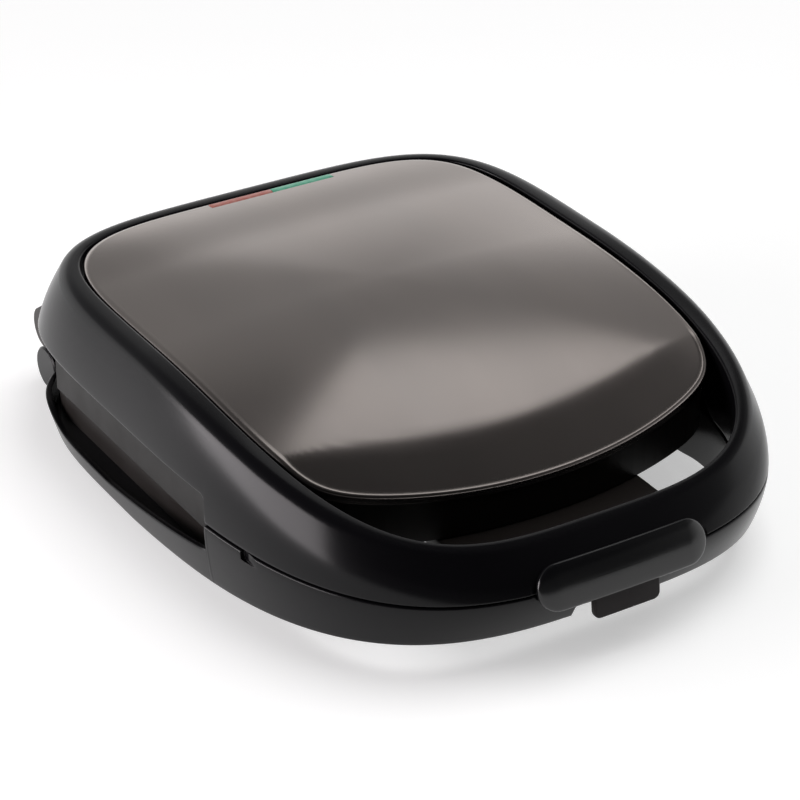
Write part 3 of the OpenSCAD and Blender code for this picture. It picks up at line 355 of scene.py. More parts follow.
def make_lid_frame():
    shells = Shells().hoop([lid_section(a) for a in frame_angles()])
    main = piece("lid_frame_shell", shells)
    carve(main, [pill_cutter(), cutter(-12, 12, -192, -172, 30, 45.6),
                 cutter(-12, 12, -173.2, -166.4, 30, 45.8),
                 cutter(5 - 32.5, 9 + 32.5, 97, 107.4, 60, 90)])
    extra = Shells()
    y = RECESS_Y - WALL
    wide = width_at(SEAM, y) - WALL / 2
    for side in (-1, 1):
        outline = [(104, SEAM_TOP + 0.1), (wide, SEAM_TOP + 0.1), (wide - 1.2, 53.5), (104, 53.5)]
        extra.prism([(side * x, y, z) for x, z in outline], (0, WALL, 0))
    ledge = []
    for a in frame_angles(240):
        out, inside = on_loop(loop_mix(RIM, RIM, 0, 0.8), a), on_loop(loop_mix(RIM, RIM, 0, -8), a)
        z = crease_height(out[1]) - 5
        ledge.append([Vector((*out, z - 2.2)), Vector((*out, z)), Vector((*inside, z)),
                      Vector((*inside, z - 2.2))])
    extra.run([s for s in ledge if s[0].y > RECESS_Y - 22])
    return main, piece("lid_frame_inside", extra)


# ---------------------------------------------------------------- base shell
def base_foot(a):
    return on_loop(SEAM, a)[1]


def handle_run():
    """Stations from the left end of the lower handle round the front to its right end."""
    count = 240
    left, right = RECESS_LEFT - 2 * math.pi, RECESS_RIGHT
    return [mix(left, right, k / count) for k in range(count + 1)]


def grip_partner(a):
    """Angle on the grip's outline that keeps the section flat where the handle ends."""
    level = on_loop(SEAM, a)[1]
    share = smooth((level + 118) / 40)
    if share <= 0:
        return a
    flat = angle_at(GRIP, max(level, -150))
    if math.cos(a) < 0:
        flat = -math.pi - flat
    return mix(a, flat, share)


def base_section(a, shrink=0.0):
    outer = [(base_wall(a, k / 9), 0.8 if k == 9 else 0) for k in range(9, 0, -1)]
    corner = (base_wall(a, 0.0), 1.1)
    b = grip_partner(a)
    low = base_wall(a, 1.0).z
    grip, grip_in = on_loop(GRIP, b), on_loop(loop_mix(GRIP, GRIP, 0, WALL), b)
    inner = [base_wall(a, s, WALL) for s in (0.0, 0.4, 0.75, 1.0)]
    web = SEAM_LOW - WALL
    top_in = Vector((inner[0].x, inner[0].y, web))
    return soften(outer + [corner, (Vector((*grip, SEAM_LOW)), 1.1), (Vector((*grip, low)), 0.6),
                           (Vector((*grip_in, low)), 0.3), (Vector((*grip_in, web)), 0.3),
                           (top_in, 0.3)] + [(p, 0) for p in inner[1:]])


def base_hull_section(a):
    wall_y = on_loop(SEAM, a)[1]
    top = recess_curve(wall_y, recess_edge(max(wall_y, RECESS_Y + 4)), SEAM_LOW - 0.6)
    s_top = 0.0
    for _ in range(24):
        p = base_wall(a, s_top)
        if p.z <= top:
            break
        s_top += (1 - s_top) * 0.06
    low, high = max(0.0, s_top - 0.08), 1.0
    for _ in range(30):
        mid = (low + high) / 2
        if base_wall(a, mid).z > top:
            low = mid
        else:
            high = mid
    s_top = high
    outer = [(base_wall(a, mix(1.0, s_top, k / 6)), 0.8 if k in (0, 6) else 0) for k in range(7)]
    inner = [(base_wall(a, mix(s_top, 1.0, k / 4), WALL), 0.3 if k in (0, 4) else 0)
             for k in range(5)]
    for p, _r in inner[:1]:
        p.z = outer[-1][0].z
    return soften(outer + inner)


def base_end_wall():
    y = RECESS_Y - WALL
    outline = [(96, 8.5), (width_at(SKIRT, y) - 1.3, 8.5), (width_at(SEAM, y) - 2.3, 31.85),
               (width_at(SEAM, y) - 1.3, 35.7), (101, 35.7)]
    shells = Shells()
    for side in (-1, 1):
        shells.prism([(side * x, y, z) for x, z in outline], (0, WALL, 0))
    return shells


def base_floor():
    outline = [base_wall(a, 0.8, WALL / 2) for a in stations(200)]
    ring = [Vector((p.x, max(p.y, RECESS_Y), 8.5)) for p in outline]
    floor = piece("base_floor", Shells().prism(ring, (0, 0, 2.5)))
    holes = [piece("hole", Shells().rod((sx * x, y, 0), (sx * x, y, 20), 1.5))
             for x, y in ((72, -41), (72, 81)) for sx in (-1, 1)]
    carve(floor, [cutter(-70, 70, -36, 76, 0, 20, radius=6)] + holes)
    extra = Shells()
    for x, y in ((92, -55), (85, 98)):
        for side in (-1, 1):
            rings = []
            for z, r in ((9.5, 9.5), (3.6, 9.5), (3.1, 9.2), (3.0, 8.6), (3.0, 2.6), (8.4, 2.6)):
                rings.append([Vector((side * x + r * math.cos(t), y + r * math.sin(t), z))
                              for t in (2 * math.pi * k / 40 for k in range(40))])
            extra.run(rings)
    for side in (-1, 1):
        x0, x1 = sorted((side * 82.5, side * 100.5))
        rounded = []
        for x, r in ((x0, 9.2), (x0 + 0.8, 10.0), (x1 - 0.8, 10.0), (x1, 9.2)):
            rounded.append([Vector((x, 124 + r * math.cos(t), 10.5 + r * math.sin(t)))
                            for t in (2 * math.pi * k / 48 for k in range(48))])
        extra.run(rounded)
        wedge = block(x0 + 0.6, x1 - 0.6, 112, 124, 4.5, 11)
        extra.add(wedge.points, wedge.faces)
    return floor, piece("base_bosses", extra)


def make_base_shell():
    trough = piece("base_handle", Shells().run([base_section(a) for a in handle_run()]))
    bar = [(-181, 31.2), (-179, 31.2), (-177.8, SEAM_LOW - 0.05), (-180.6, SEAM_LOW - 0.05)]
    bar_shell = Shells().prism([(-26, y, z) for y, z in bar], (52, 0, 0))
    notch_x = width_at(SEAM, -94) - 2
    carve(trough, [
        pill_cutter(), cutter(-10.5, 10.5, -187, -176, 20, 31.2),
        cutter(-19.5, 19.5, -187, -169, 0, 25.5, radius=2.5, along="y"),
        cutter(notch_x, 140, -108, -94, 33, 60, radius=1, along="x"),
        cutter(-140, -notch_x, -108, -94, 33, 60, radius=1, along="x")])
    hull_angles = [a for a in frame_angles(320)
                   if RECESS_RIGHT - 0.02 < a < RECESS_LEFT + 0.02]
    hull = piece("base_hull", Shells().run([base_hull_section(a) for a in hull_angles]))
    floor, bosses = base_floor()
    walls = piece("base_walls", Shells().add(bar_shell.points, bar_shell.faces)
                  .add(base_end_wall().points, base_end_wall().faces))
    return trough, hull, floor, bosses, walls


# ---------------------------------------------------------------- lid panel
def lip_reach(a):
    return math.sin(a) * LIP_CENTRE + math.sqrt(LIP_RADIUS ** 2 - (math.cos(a) * LIP_CENTRE) ** 2)


def panel_reach(a, inset=0.0):
    r1 = reach(loop_mix(RIM, RIM, 0, -1.2 - inset), a)
    r2 = lip_reach(a) - inset
    return (r1 ** -24 + r2 ** -24) ** (-1 / 24)


def brow_fall(x, y):
    """Fall of the front of the panel past the curved brow, with a soft start."""
    t, soft = (-y - 110 + 0.0018 * x * x) / 26, 0.07
    if t <= -soft:
        return 0.0
    return t if t >= soft else (t + soft) ** 2 / (4 * soft)


def panel_height(x, y, q):
    return (crease_height(y) - 0.8 + 5 * (1 - q * q) - 4.6 * brow_fall(x, y)
            + 1.4 * smooth((y - 60) / 45))


def panel_profile(a, inset=0.0):
    edge = panel_reach(a)
    front = smooth(-edge * math.sin(a) / 60 - 1.3)
    roll, drop = mix(3.2, 1.4, front), mix(1.7, 1.2, front)

    def at(r, z):
        return Vector((r * math.cos(a), r * math.sin(a), z))

    def sheet(q):
        r = q * (edge - roll)
        return at(r, panel_height(r * math.cos(a), r * math.sin(a), r / edge))

    points = [sheet(q) for q in PANEL_RINGS]
    top = points[-1].z
    for k in range(1, 9):
        t = k / 8 * math.pi / 2
        points.append(at(edge - roll + roll * math.sin(t), top - drop * (1 - math.cos(t))))
    low = panel_height(edge * math.cos(a), edge * math.sin(a), 1.0) - mix(4.0, 3.0, front)
    points += [at(edge, low + 0.3), at(edge - 0.3, low), at(edge - 0.9, low),
               at(edge - 1.2, low + 0.3), at(edge - 1.3, top - drop - 0.3),
               at(edge - roll - 1, top - 1.5)]
    return points + [sheet(q) - Vector((0, 0, 1.2)) for q in reversed(PANEL_RINGS[1:-2])]


PANEL_RINGS = [0.0, 0.06, 0.14, 0.22, 0.3, 0.38, 0.46, 0.54, 0.61, 0.67, 0.72, 0.77, 0.81, 0.85,
               0.885, 0.915, 0.94, 0.96, 0.977, 0.99, 1.0]


def make_lid_panel():
    angles = stations(400)
    profiles = [panel_profile(a) for a in angles]
    n, m = len(profiles), len(profiles[0])
    centre_top, centre_low = profiles[0][0], profiles[0][0] - Vector((0, 0, 1.2))
    points = [centre_top, centre_low] + [p for profile in profiles for p in profile[1:]]
    m -= 1
    faces = []
    for i in range(n):
        j = (i + 1) % n
        faces.append([0, 2 + i * m, 2 + j * m])
        for k in range(m - 1):
            faces.append([2 + i * m + k, 2 + i * m + k + 1, 2 + j * m + k + 1, 2 + j * m + k])
        faces.append([1, 2 + j * m + m - 1, 2 + i * m + m - 1])
    panel = piece("lid_panel_sheet", Shells().add(points, faces), angle=40)
    return carve(panel, [cutter(7 - 31.6, 7 + 31.6, 100.9, 105.1, 70, 100, radius=0.5)], angle=40)


def make_lens(name, x0, x1):
    y0, y1 = 101.05, 104.95
    rows = []
    for x in np.linspace(x0, x1, 14):
        q = math.hypot(x, 103) / panel_reach(math.atan2(103, x))
        top = panel_height(x, 103, q) + 0.25
        ring = soften([(Vector((x, y0, 76)), 0), (Vector((x, y1, 76)), 0),
                       (Vector((x, y1, top - 0.1)), 0.5), (Vector((x, y0, top + 0.1)), 1.5)], 7)
        rows.append(ring)
    centre = sum(rows[0], Vector()) / len(rows[0])
    shells = Shells()
    for row, x, scale in ((rows[0], x0, 0.86), (rows[-1], x1, 0.86)):
        middle = sum(row, Vector()) / len(row)
        small = [middle + (p - middle) * scale for p in row]
        if x == x0:
            rows[0] = [Vector((x0 + 0.35, p.y, p.z)) for p in row]
            rows.insert(0, [Vector((x0, p.y, p.z)) for p in small])
        else:
            rows[-1] = [Vector((x1 - 0.35, p.y, p.z)) for p in row]
            rows.append([Vector((x1, p.y, p.z)) for p in small])
    return piece(name, shells.run(rows), angle=50)


# ---------------------------------------------------------------- front of the lid's housing
def make_front_wall():
    """Curved wall under the lip of the panel, rolled in at its foot."""
    rows = []
    for k in range(121):
        a = math.radians(-166 + 152 * k / 120)
        edge = panel_reach(a, 1.9)
        x, y = edge * math.cos(a), edge * math.sin(a)
        top = panel_height(x, y, 1.0) - 2.6
        section = [(0.2, top), (0.0, top - 1.5), (-0.2, mix(top, 43.5, 0.6)), (-0.2, 43.5)]
        section += [(-0.2 - 4.2 * (1 - math.cos(t)), 43.5 - 5.0 * math.sin(t))
                    for t in (math.pi / 2 * j / 7 for j in range(1, 8))]
        section += [(-5.4, 38.5), (-5.4, 40.0), (-1.6, 44.5), (-1.4, top)]
        rows.append([Vector(((edge + out) * math.cos(a), (edge + out) * math.sin(a), z))
                     for out, z in section])
    return piece("front_bay_wall", Shells().run(rows), angle=50)


def make_apron():
    """Top sheet of the tray's apron, seen through the handle, with a rounded skirt."""
    rings = []
    for inset, z in ((0.6, 31.2), (0.25, 31.0), (0.0, 31.3), (0.0, 35.7), (0.18, 36.35),
                     (0.6, 36.85), (1.2, 37.0)):
        x, y = 46.4 - inset, -150.4 + inset
        ring = soften([(Vector((-x - 3, -112, z)), 0.5), (Vector((-x - 3, y, z)), 6 - inset),
                       (Vector((x, y, z)), 6 - inset), (Vector((x, -112, z)), 0.5)], 10)
        rings.append(ring)
    return piece("tray_apron", Shells().run(rings), angle=50)


# ---------------------------------------------------------------- latch
def make_latch_cap():
    rings = []
    profile = [(0.35, -3.6), (0.0, -3.3), (0.0, -2.3), (0.12, -1.85), (0.4, -1.45), (0.8, -1.15),
               (1.3, -0.92), (2.2, -0.60), (3.4, -0.27), (4.8, 0.02), (6.2, 0.23), (7.6, 0.37),
               (8.6, 0.42), (9.3, 0.43)]
    for inset, out in profile:
        outline = stadium(79 - 2 * inset, 19 - 2 * inset)
        rings.append([on_pill(u, v, out - u * u / 1040) for u, v in outline])
    return piece("latch_pill", Shells().run(rings), angle=45)


def make_latch_lever():
    """Back plate, neck, pivot barrel, hook and finger tab, one moulding behind the pill."""
    shells = Shells()
    outline = stadium(75, 16)
    shells.run([[on_pill(u, v, out) for u, v in outline] for out in (-5.3, -3.5)])
    shells.rod((-10.5, -170, 42.2), (10.5, -170, 42.2), 3.6)
    neck = [(-170, 38.9), (-170, 43.6), (-179.4, 43.0), (-181.6, 38.5), (-178.5, 38.5)]
    shells.prism([(-10.5, y, z) for y, z in neck], (21, 0, 0))
    hook = [(-184, 25.5), (-184, 28.6), (-180.2, 28.1), (-180.2, 27), (-182, 25.5)]
    shells.prism([(-9.5, y, z) for y, z in hook], (19, 0, 0))
    stem = [(-183.5, 24), (-184.9, 24), (-184.9, 32.5), (-183.5, 33.1)]
    shells.prism([(-14.5, y, z) for y, z in stem], (29, 0, 0))
    for y0, y1, lean in ((-187.0, -184.0, 0.12),):
        rings = []
        for y, grow in ((y1, -0.5), (y1 - 0.25, -0.12), (y1 - 0.6, 0.0), (y0 + 0.9, 0.0),
                        (y0 + 0.35, -0.15), (y0 + 0.08, -0.5), (y0, -0.95)):
            x, z0, z1 = 15.5 + grow, 21 - grow, 31.4
            ring = soften([(Vector((-x, y, z1)), 0.4), (Vector((-x, y, z0)), 3.4 + grow),
                           (Vector((x, y, z0)), 3.4 + grow), (Vector((x, y, z1)), 0.4)], 8)
            rings.append([Vector((p.x, p.y + lean * (p.z - 21), p.z)) for p in ring])
        shells.run(rings)
    return piece("latch_finger_lever", shells, angle=40)


# ---------------------------------------------------------------- finishes
def linear(rgb):
    return tuple(((c / 255 + 0.055) / 1.055) ** 2.4 if c / 255 > 0.04045 else c / 255 / 12.92
                 for c in rgb)


class Finish:
    """A moulded, cast or rolled finish: its shader, with grain and bump in millimetres."""

    def __init__(self, name, colour, roughness, metallic=0.0, specular=0.5, **sockets):
        self.material = bpy.data.materials.new(name)
        self.material.use_nodes = True
        self.tree = self.material.node_tree
        self.nodes, self.links = self.tree.nodes, self.tree.links
        self.shader = self.nodes["Principled BSDF"]
        self.set("Base Color", (*colour, 1))
        self.set("Roughness", roughness)
        self.set("Metallic", metallic)
        self.set("Specular IOR Level", specular)
        for socket, value in sockets.items():
            self.set(socket.replace("_", " "), value)
        self.place = self.nodes.new("ShaderNodeTexCoord").outputs["Object"]
        self.normal = None
        self.colour = colour
        self.rough = roughness

    def set(self, socket, value):
        self.shader.inputs[socket].default_value = value

    def noise(self, size_mm, detail=2.0, stretch=(1, 1, 1)):
        place = self.place
        if stretch != (1, 1, 1):
            mapping = self.nodes.new("ShaderNodeMapping")
            mapping.inputs["Scale"].default_value = stretch
            self.links.new(place, mapping.inputs["Vector"])
            place = mapping.outputs["Vector"]
        node = self.nodes.new("ShaderNodeTexNoise")
        node.inputs["Scale"].default_value = 1000 / size_mm
        node.inputs["Detail"].default_value = detail
        self.links.new(place, node.inputs["Vector"])
        return node.outputs["Fac"]

    def spread(self, value, low, high, source=(0.3, 0.7)):
        node = self.nodes.new("ShaderNodeMapRange")
        node.inputs["From Min"].default_value, node.inputs["From Max"].default_value = source
        node.inputs["To Min"].default_value, node.inputs["To Max"].default_value = low, high
        self.links.new(value, node.inputs["Value"])
        return node.outputs["Result"]

    def vary_roughness(self, size_mm, amount, detail=3.0, stretch=(1, 1, 1)):
        value = self.spread(self.noise(size_mm, detail, stretch), self.rough - amount,
                            self.rough + amount)
        self.links.new(value, self.shader.inputs["Roughness"])
        return self

    def vary_colour(self, size_mm, other, detail=3.0, stretch=(1, 1, 1), source=(0.35, 0.65)):
        blend = self.nodes.new("ShaderNodeMix")
        blend.data_type = "RGBA"
        blend.inputs["A"].default_value = (*self.colour, 1)
        blend.inputs["B"].default_value = (*other, 1)
        self.links.new(self.spread(self.noise(size_mm, detail, stretch), 0, 1, source),
                       blend.inputs["Factor"])
        self.links.new(blend.outputs["Result"], self.shader.inputs["Base Color"])
        return self

    def bump(self, size_mm, height_mm, detail=2.0, stretch=(1, 1, 1)):
        node = self.nodes.new("ShaderNodeBump")
        node.inputs["Distance"].default_value = height_mm / 1000
        node.inputs["Strength"].default_value = 1.0
        self.links.new(self.noise(size_mm, detail, stretch), node.inputs["Height"])
        if self.normal is not None:
            self.links.new(self.normal, node.inputs["Normal"])
        self.normal = node.outputs["Normal"]
        self.links.new(self.normal, self.shader.inputs["Normal"])
        return self

    def eased_edges(self, radius_mm=0.3):
        node = self.nodes.new("ShaderNodeBevel")
        node.samples = 4
        node.inputs["Radius"].default_value = radius_mm / 1000
        if self.normal is not None:
            self.links.new(self.normal, node.inputs["Normal"])
        self.normal = node.outputs["Normal"]
        self.links.new(self.normal, self.shader.inputs["Normal"])
        return self


def finishes():
    made = {}
    made["gloss_black"] = Finish("gloss_black_shell", (0.0034, 0.0032, 0.0040), 0.21,
                                 specular=0.20).eased_edges(0.5).vary_roughness(60, 0.025
                                                                       ).bump(14, 0.003)
    made["matte_black"] = Finish("grained_black_moulding", (0.020, 0.017, 0.016), 0.46,
                                 specular=0.35).eased_edges(0.35).vary_roughness(14, 0.05).bump(0.7, 0.02)
    # painted reflection: the front wall is black gloss moulding, and its grey-blue base colour stands in
    # for the floor's light reflected in it
    made["bay_wall_painted_reflection"] = Finish("front_wall_gloss_painted_reflection", (0.165, 0.170, 0.190), 0.26, specular=0.5
                              ).vary_roughness(40, 0.03)
    made["apron_moulding"] = Finish("apron_satin_moulding", (0.013, 0.0110, 0.0102), 0.40, specular=0.25
                                    ).vary_roughness(12, 0.04).bump(0.6, 0.010)
    made["cheek_moulding"] = Finish("cheek_satin_moulding", (0.0045, 0.0036, 0.0033), 0.38,
                                    specular=0.16).eased_edges(0.4).vary_roughness(12, 0.04)
    made["blackened_steel"] = Finish("blackened_pin", (0.030, 0.030, 0.032), 0.35, metallic=0.6
                                     ).eased_edges(0.2).vary_roughness(3, 0.05)
    made["latch_gloss"] = Finish("latch_gloss_cap", (0.0035, 0.0035, 0.0042), 0.19, specular=0.5
                                 ).vary_roughness(30, 0.02)
    made["latch_moulding"] = Finish("latch_matt_moulding", (0.015, 0.0115, 0.012), 0.42,
                                    specular=0.16).vary_roughness(10, 0.04).bump(0.6, 0.012)
    made["panel_metal"] = Finish("champagne_satin_sheet", (0.385, 0.345, 0.325), 0.20, metallic=1.0
                                 ).vary_roughness(30, 0.015, stretch=(1, 0.3, 1)
                                 ).vary_colour(45, (0.37, 0.335, 0.318), stretch=(1, 0.25, 1))
    made["plate_coating"] = Finish("nonstick_coating", (0.040, 0.040, 0.042), 0.30, specular=0.6
                                   ).eased_edges(0.4).vary_roughness(8, 0.05).bump(0.6, 0.015)
    made["heater_metal"] = Finish("heater_sheath", (0.30, 0.29, 0.28), 0.42, metallic=1.0
                                  ).vary_colour(9, (0.20, 0.18, 0.17)).bump(0.5, 0.004)
    made["sheet_metal"] = Finish("aluminised_sheet", (0.62, 0.63, 0.65), 0.35, metallic=1.0
                                 ).eased_edges(0.2).vary_roughness(6, 0.08).bump(1.2, 0.004)
    made["bracket_steel"] = Finish("zinc_plated_steel", (0.48, 0.49, 0.50), 0.36, metallic=1.0
                                   ).eased_edges(0.3).vary_roughness(5, 0.07)
    made["bright_steel"] = Finish("bright_steel", (0.58, 0.58, 0.58), 0.24, metallic=1.0
                                  ).eased_edges(0.15).vary_roughness(3, 0.05)
    made["soft_rubber"] = Finish("soft_rubber", (0.022, 0.022, 0.022), 0.72, specular=0.3
                                 ).eased_edges(0.4).bump(0.5, 0.02)
    made["red_window"] = Finish("red_window", (0.36, 0.105, 0.085), 0.26, specular=0.5
                                ).vary_colour(3, (0.42, 0.17, 0.14)).bump(1.2, 0.004)
    made["green_window"] = Finish("green_window", (0.075, 0.33, 0.215), 0.26, specular=0.5
                                  ).vary_colour(3, (0.13, 0.40, 0.275)).bump(1.2, 0.004)
    made["lamp_glass"] = Finish("lamp_glass", (0.75, 0.62, 0.48), 0.12, specular=0.6
                                ).vary_roughness(4, 0.03)
    made["lead_sleeve"] = Finish("woven_sleeving", (0.55, 0.53, 0.48), 0.75
                                 ).vary_colour(0.8, (0.40, 0.38, 0.34)).bump(0.5, 0.03)
    made["terminal_plastic"] = Finish("terminal_plastic", (0.62, 0.60, 0.54), 0.5
                                      ).eased_edges(0.3).vary_roughness(6, 0.05)
    return {name: made[name].material for name in made}


FINISH = finishes()
SLOT_OF = {part["node"]: part["material_slot"] for part in frame["record"]["subparts"]}


# ---------------------------------------------------------------- screws
def screw_tree():
    """Node tree that sets a cross-recess screw on every point: head at the point, shank below."""
    tree = bpy.data.node_groups.new("screw_set", "GeometryNodeTree")
    sockets = [("Points", "NodeSocketGeometry"), ("Head radius", "NodeSocketFloat"),
               ("Head height", "NodeSocketFloat"), ("Shank radius", "NodeSocketFloat"),
               ("Length", "NodeSocketFloat"), ("Thread turns", "NodeSocketInt"),
               ("Facing", "NodeSocketVector"), ("Finish", "NodeSocketMaterial")]
    names = {label: tree.interface.new_socket(label, in_out="INPUT", socket_type=kind).identifier
             for label, kind in sockets}
    tree.interface.new_socket("Screws", in_out="OUTPUT", socket_type="NodeSocketGeometry")
    given = tree.nodes.new("NodeGroupInput").outputs

    def add(kind, settings=(), **inputs):
        node = tree.nodes.new(kind)
        for key, value in dict(settings).items():
            setattr(node, key, value)
        for key, value in inputs.items():
            socket = node.inputs[int(key[1:]) if key[0] == "i" and key[1:].isdigit()
                                 else key.replace("_", " ")]
            if isinstance(value, bpy.types.NodeSocket):
                tree.links.new(value, socket)
            else:
                socket.default_value = value
        return node

    def sized(geometry, x, y, z, shift=(0, 0, 0)):
        scale = add("ShaderNodeCombineXYZ", X=x, Y=y, Z=z).outputs[0]
        moved = add("GeometryNodeTransform", Geometry=geometry, Translation=shift).outputs[0]
        return add("GeometryNodeTransform", Geometry=moved, Scale=scale).outputs[0]

    def cone(top, bottom, depth, z):
        made = add("GeometryNodeMeshCone", Vertices=28, Radius_Top=top, Radius_Bottom=bottom,
                   Depth=depth).outputs["Mesh"]
        return add("GeometryNodeTransform", Geometry=made, Translation=(0, 0, z)).outputs[0]

    def union(how, *parts):
        node = add("GeometryNodeMeshBoolean", {"operation": how, "solver": "EXACT"})
        first = node.inputs[0] if how == "DIFFERENCE" else node.inputs[1]
        tree.links.new(parts[0], first)
        for part in parts[1:]:
            tree.links.new(part, node.inputs[1])
        return node.outputs["Mesh"]

    head_r, head_h, shank_r = given["Head radius"], given["Head height"], given["Shank radius"]
    head = union("UNION", cone(1.0, 1.0, 0.55, -0.725), cone(0.72, 1.0, 0.46, -0.23))
    bars = [add("GeometryNodeMeshCube", Size=size).outputs["Mesh"]
            for size in ((1.15, 0.24, 1.2), (0.24, 1.15, 1.2))]
    head = sized(union("DIFFERENCE", head, *bars), head_r, head_r, head_h)
    shank = sized(cone(0.84, 0.70, 1.0, -0.5), shank_r, shank_r, given["Length"])
    ridge = add("GeometryNodeJoinGeometry")
    for part in (cone(0.80, 1.0, 0.5, -0.25), cone(1.0, 0.80, 0.5, 0.25)):
        tree.links.new(part, ridge.inputs[0])
    tail = add("ShaderNodeMath", {"operation": "MULTIPLY"}, i0=given["Length"], i1=-0.96).outputs[0]
    start = add("ShaderNodeMath", {"operation": "MULTIPLY"}, i0=head_h, i1=-1.25).outputs[0]
    line = add("GeometryNodeMeshLine", {"mode": "END_POINTS"}, Count=given["Thread turns"])
    tree.links.new(add("ShaderNodeCombineXYZ", X=0, Y=0, Z=start).outputs[0],
                   line.inputs["Start Location"])
    tree.links.new(add("ShaderNodeCombineXYZ", X=0, Y=0, Z=tail).outputs[0], line.inputs["Offset"])
    ridge_scale = add("ShaderNodeCombineXYZ", X=shank_r, Y=shank_r,
                      Z=add("ShaderNodeMath", {"operation": "MULTIPLY"}, i0=shank_r,
                            i1=0.34).outputs[0]).outputs[0]
    thread = add("GeometryNodeInstanceOnPoints", Points=line.outputs["Mesh"],
                 Instance=ridge.outputs[0], Scale=ridge_scale).outputs[0]
    screw = add("GeometryNodeJoinGeometry")
    for part in (head, shank, thread):
        tree.links.new(part, screw.inputs[0])
    turn = add("FunctionNodeAlignRotationToVector", {"axis": "Z"}, Vector=given["Facing"])
    placed = add("GeometryNodeInstanceOnPoints", Points=given["Points"], Instance=screw.outputs[0],
                 Rotation=turn.outputs[0]).outputs[0]
    real = add("GeometryNodeRealizeInstances", Geometry=placed).outputs[0]
    done = add("GeometryNodeSetMaterial", Geometry=real, Material=given["Finish"]).outputs[0]
    tree.links.new(done, tree.nodes.new("NodeGroupOutput").inputs[0])
    return tree, names


def screw_seats(name):
    """Head tops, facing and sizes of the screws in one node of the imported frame."""
    node = frame["nodes"][name]
    bm = bmesh.new()
    bm.from_mesh(node.data)
    bm.transform(node.matrix_world)
    left, seats, sizes, facing = set(bm.verts), [], None, None
    while left:
        island, edge = set(), [next(iter(left))]
        while edge:
            vert = edge.pop()
            if vert not in island:
                island.add(vert)
                edge += [e.other_vert(vert) for e in vert.link_edges]
        left -= island
        points = np.array([v.co for v in island])
        low, high = points.min(0), points.max(0)
        axis = int(np.argmax(high - low))
        others = [k for k in range(3) if k != axis]
        centre = (low + high) / 2
        radii = np.linalg.norm(points[:, others] - centre[others], axis=1)
        wide = points[radii > 0.9 * radii.max(), axis]
        up = 1.0 if wide.mean() > centre[axis] else -1.0
        tail = points[np.abs(points[:, axis] - (low if up > 0 else high)[axis]) < 1e-5]
        top = centre.copy()
        top[axis] = (high if up > 0 else low)[axis]
        seats.append(tuple(top))
        facing = tuple(up if k == axis else 0.0 for k in range(3))
        sizes = (radii.max(), abs(top[axis] - (wide.min() if up > 0 else wide.max())),
                 np.linalg.norm(tail[:, others] - centre[others], axis=1).max(),
                 (high - low)[axis])
    bm.free()
    return seats, facing, [float(v) for v in sizes]


SCREW_TREE, SCREW_INPUTS = screw_tree()


def make_screws(name):
    seats, facing, (head_r, head_h, shank_r, length) = screw_seats(name)
    mesh = bpy.data.meshes.new(name + "_cross_head")
    mesh.from_pydata(seats, [], [])
    obj = bpy.data.objects.new(name + "_cross_head", mesh)
    bpy.context.scene.collection.objects.link(obj)
    step = obj.modifiers.new("screws", "NODES")
    step.node_group = SCREW_TREE
    for label, value in (("Head radius", head_r), ("Head height", max(head_h, 0.0008)),
                         ("Shank radius", shank_r), ("Length", length),
                         ("Thread turns", max(4, int(length / 0.0007))), ("Facing", facing),
                         ("Finish", FINISH["bright_steel"])):
        step[SCREW_INPUTS[label]] = value
    settle(obj)
    shade(obj, 40)
    return obj


# ---------------------------------------------------------------- putting the toaster together
def joined(name, parts):
    """Several meshes as one object, each keeping its own shading."""
    bm = bmesh.new()
    for part in parts:
        bm.from_mesh(part.data)
    mesh = bpy.data.meshes.new(name)
    bm.to_mesh(mesh)
    bm.free()
    for part in parts:
        bpy.data.objects.remove(part)
    obj = bpy.data.objects.new(name, mesh)
    bpy.context.scene.collection.objects.link(obj)
    return obj


def fit(obj, body, slot, nodes=(), finish=None):
    """Gives a piece its finish, its body and the CAD nodes it stands for."""
    obj.data.materials.clear()
    obj.data.materials.append(FINISH[finish or slot])
    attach(obj, body)
    if nodes:
        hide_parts(*nodes)
    return obj


fit(joined("lid_frame_moulding", make_lid_frame()), "lid", "gloss_black", ["lid_frame"])
fit(joined("base_moulding", make_base_shell()), "base", "gloss_black", ["base_shell"])
fit(make_lid_panel(), "lid", "panel_metal", ["lid_panel"])
fit(make_latch_cap(), "latch", "gloss_black", ["latch_cap"], "latch_gloss")
fit(make_latch_lever(), "latch", "latch_moulding", ["latch_lever"])
fit(make_lens("red_window_lens", 7 - 31.5, 6.9), "lid", "red_window", ["red_lens"])
fit(make_lens("green_window_lens", 7.1, 7 + 31.5), "lid", "green_window", ["green_lens"])

for screws, body in (("bottom_screws", "base"), ("tray_screws", "base"), ("lid_screws", "lid"),
                     ("hinge_bracket_screws", "base"), ("hinge_arm_screws", "lid")):
    fit(make_screws(screws), body, "bright_steel", [screws])
# the front wall gets the painted-reflection finish, a lighter copy of the black shell's colour
fit(make_front_wall(), "lid", "gloss_black", (), "bay_wall_painted_reflection")
fit(make_apron(), "base", "matte_black", (), "apron_moulding")

OTHER_FINISH = {"lid_housing": "cheek_moulding", "hinge_pins": "blackened_steel",
                "lower_housing": "apron_moulding"}
for name, node in frame["nodes"].items():
    if not node.hide_render:
        node.data.materials.clear()
        node.data.materials.append(FINISH[OTHER_FINISH.get(name, SLOT_OF[name])])


# ---------------------------------------------------------------- floor, backdrop and lamps
def seen_white(nodes, links):
    """1 for the rays that see the white paper: straight, mirrored or through glass."""
    path, seen = nodes.new("ShaderNodeLightPath"), None
    for ray in ("Is Camera Ray", "Is Glossy Ray", "Is Transmission Ray"):
        step = nodes.new("ShaderNodeMath")
        step.operation = "MAXIMUM"
        links.new(path.outputs[ray], step.inputs[0])
        if seen is None:
            step.inputs[1].default_value = 0.0
        else:
            links.new(seen, step.inputs[1])
        seen = step.outputs[0]
    return seen


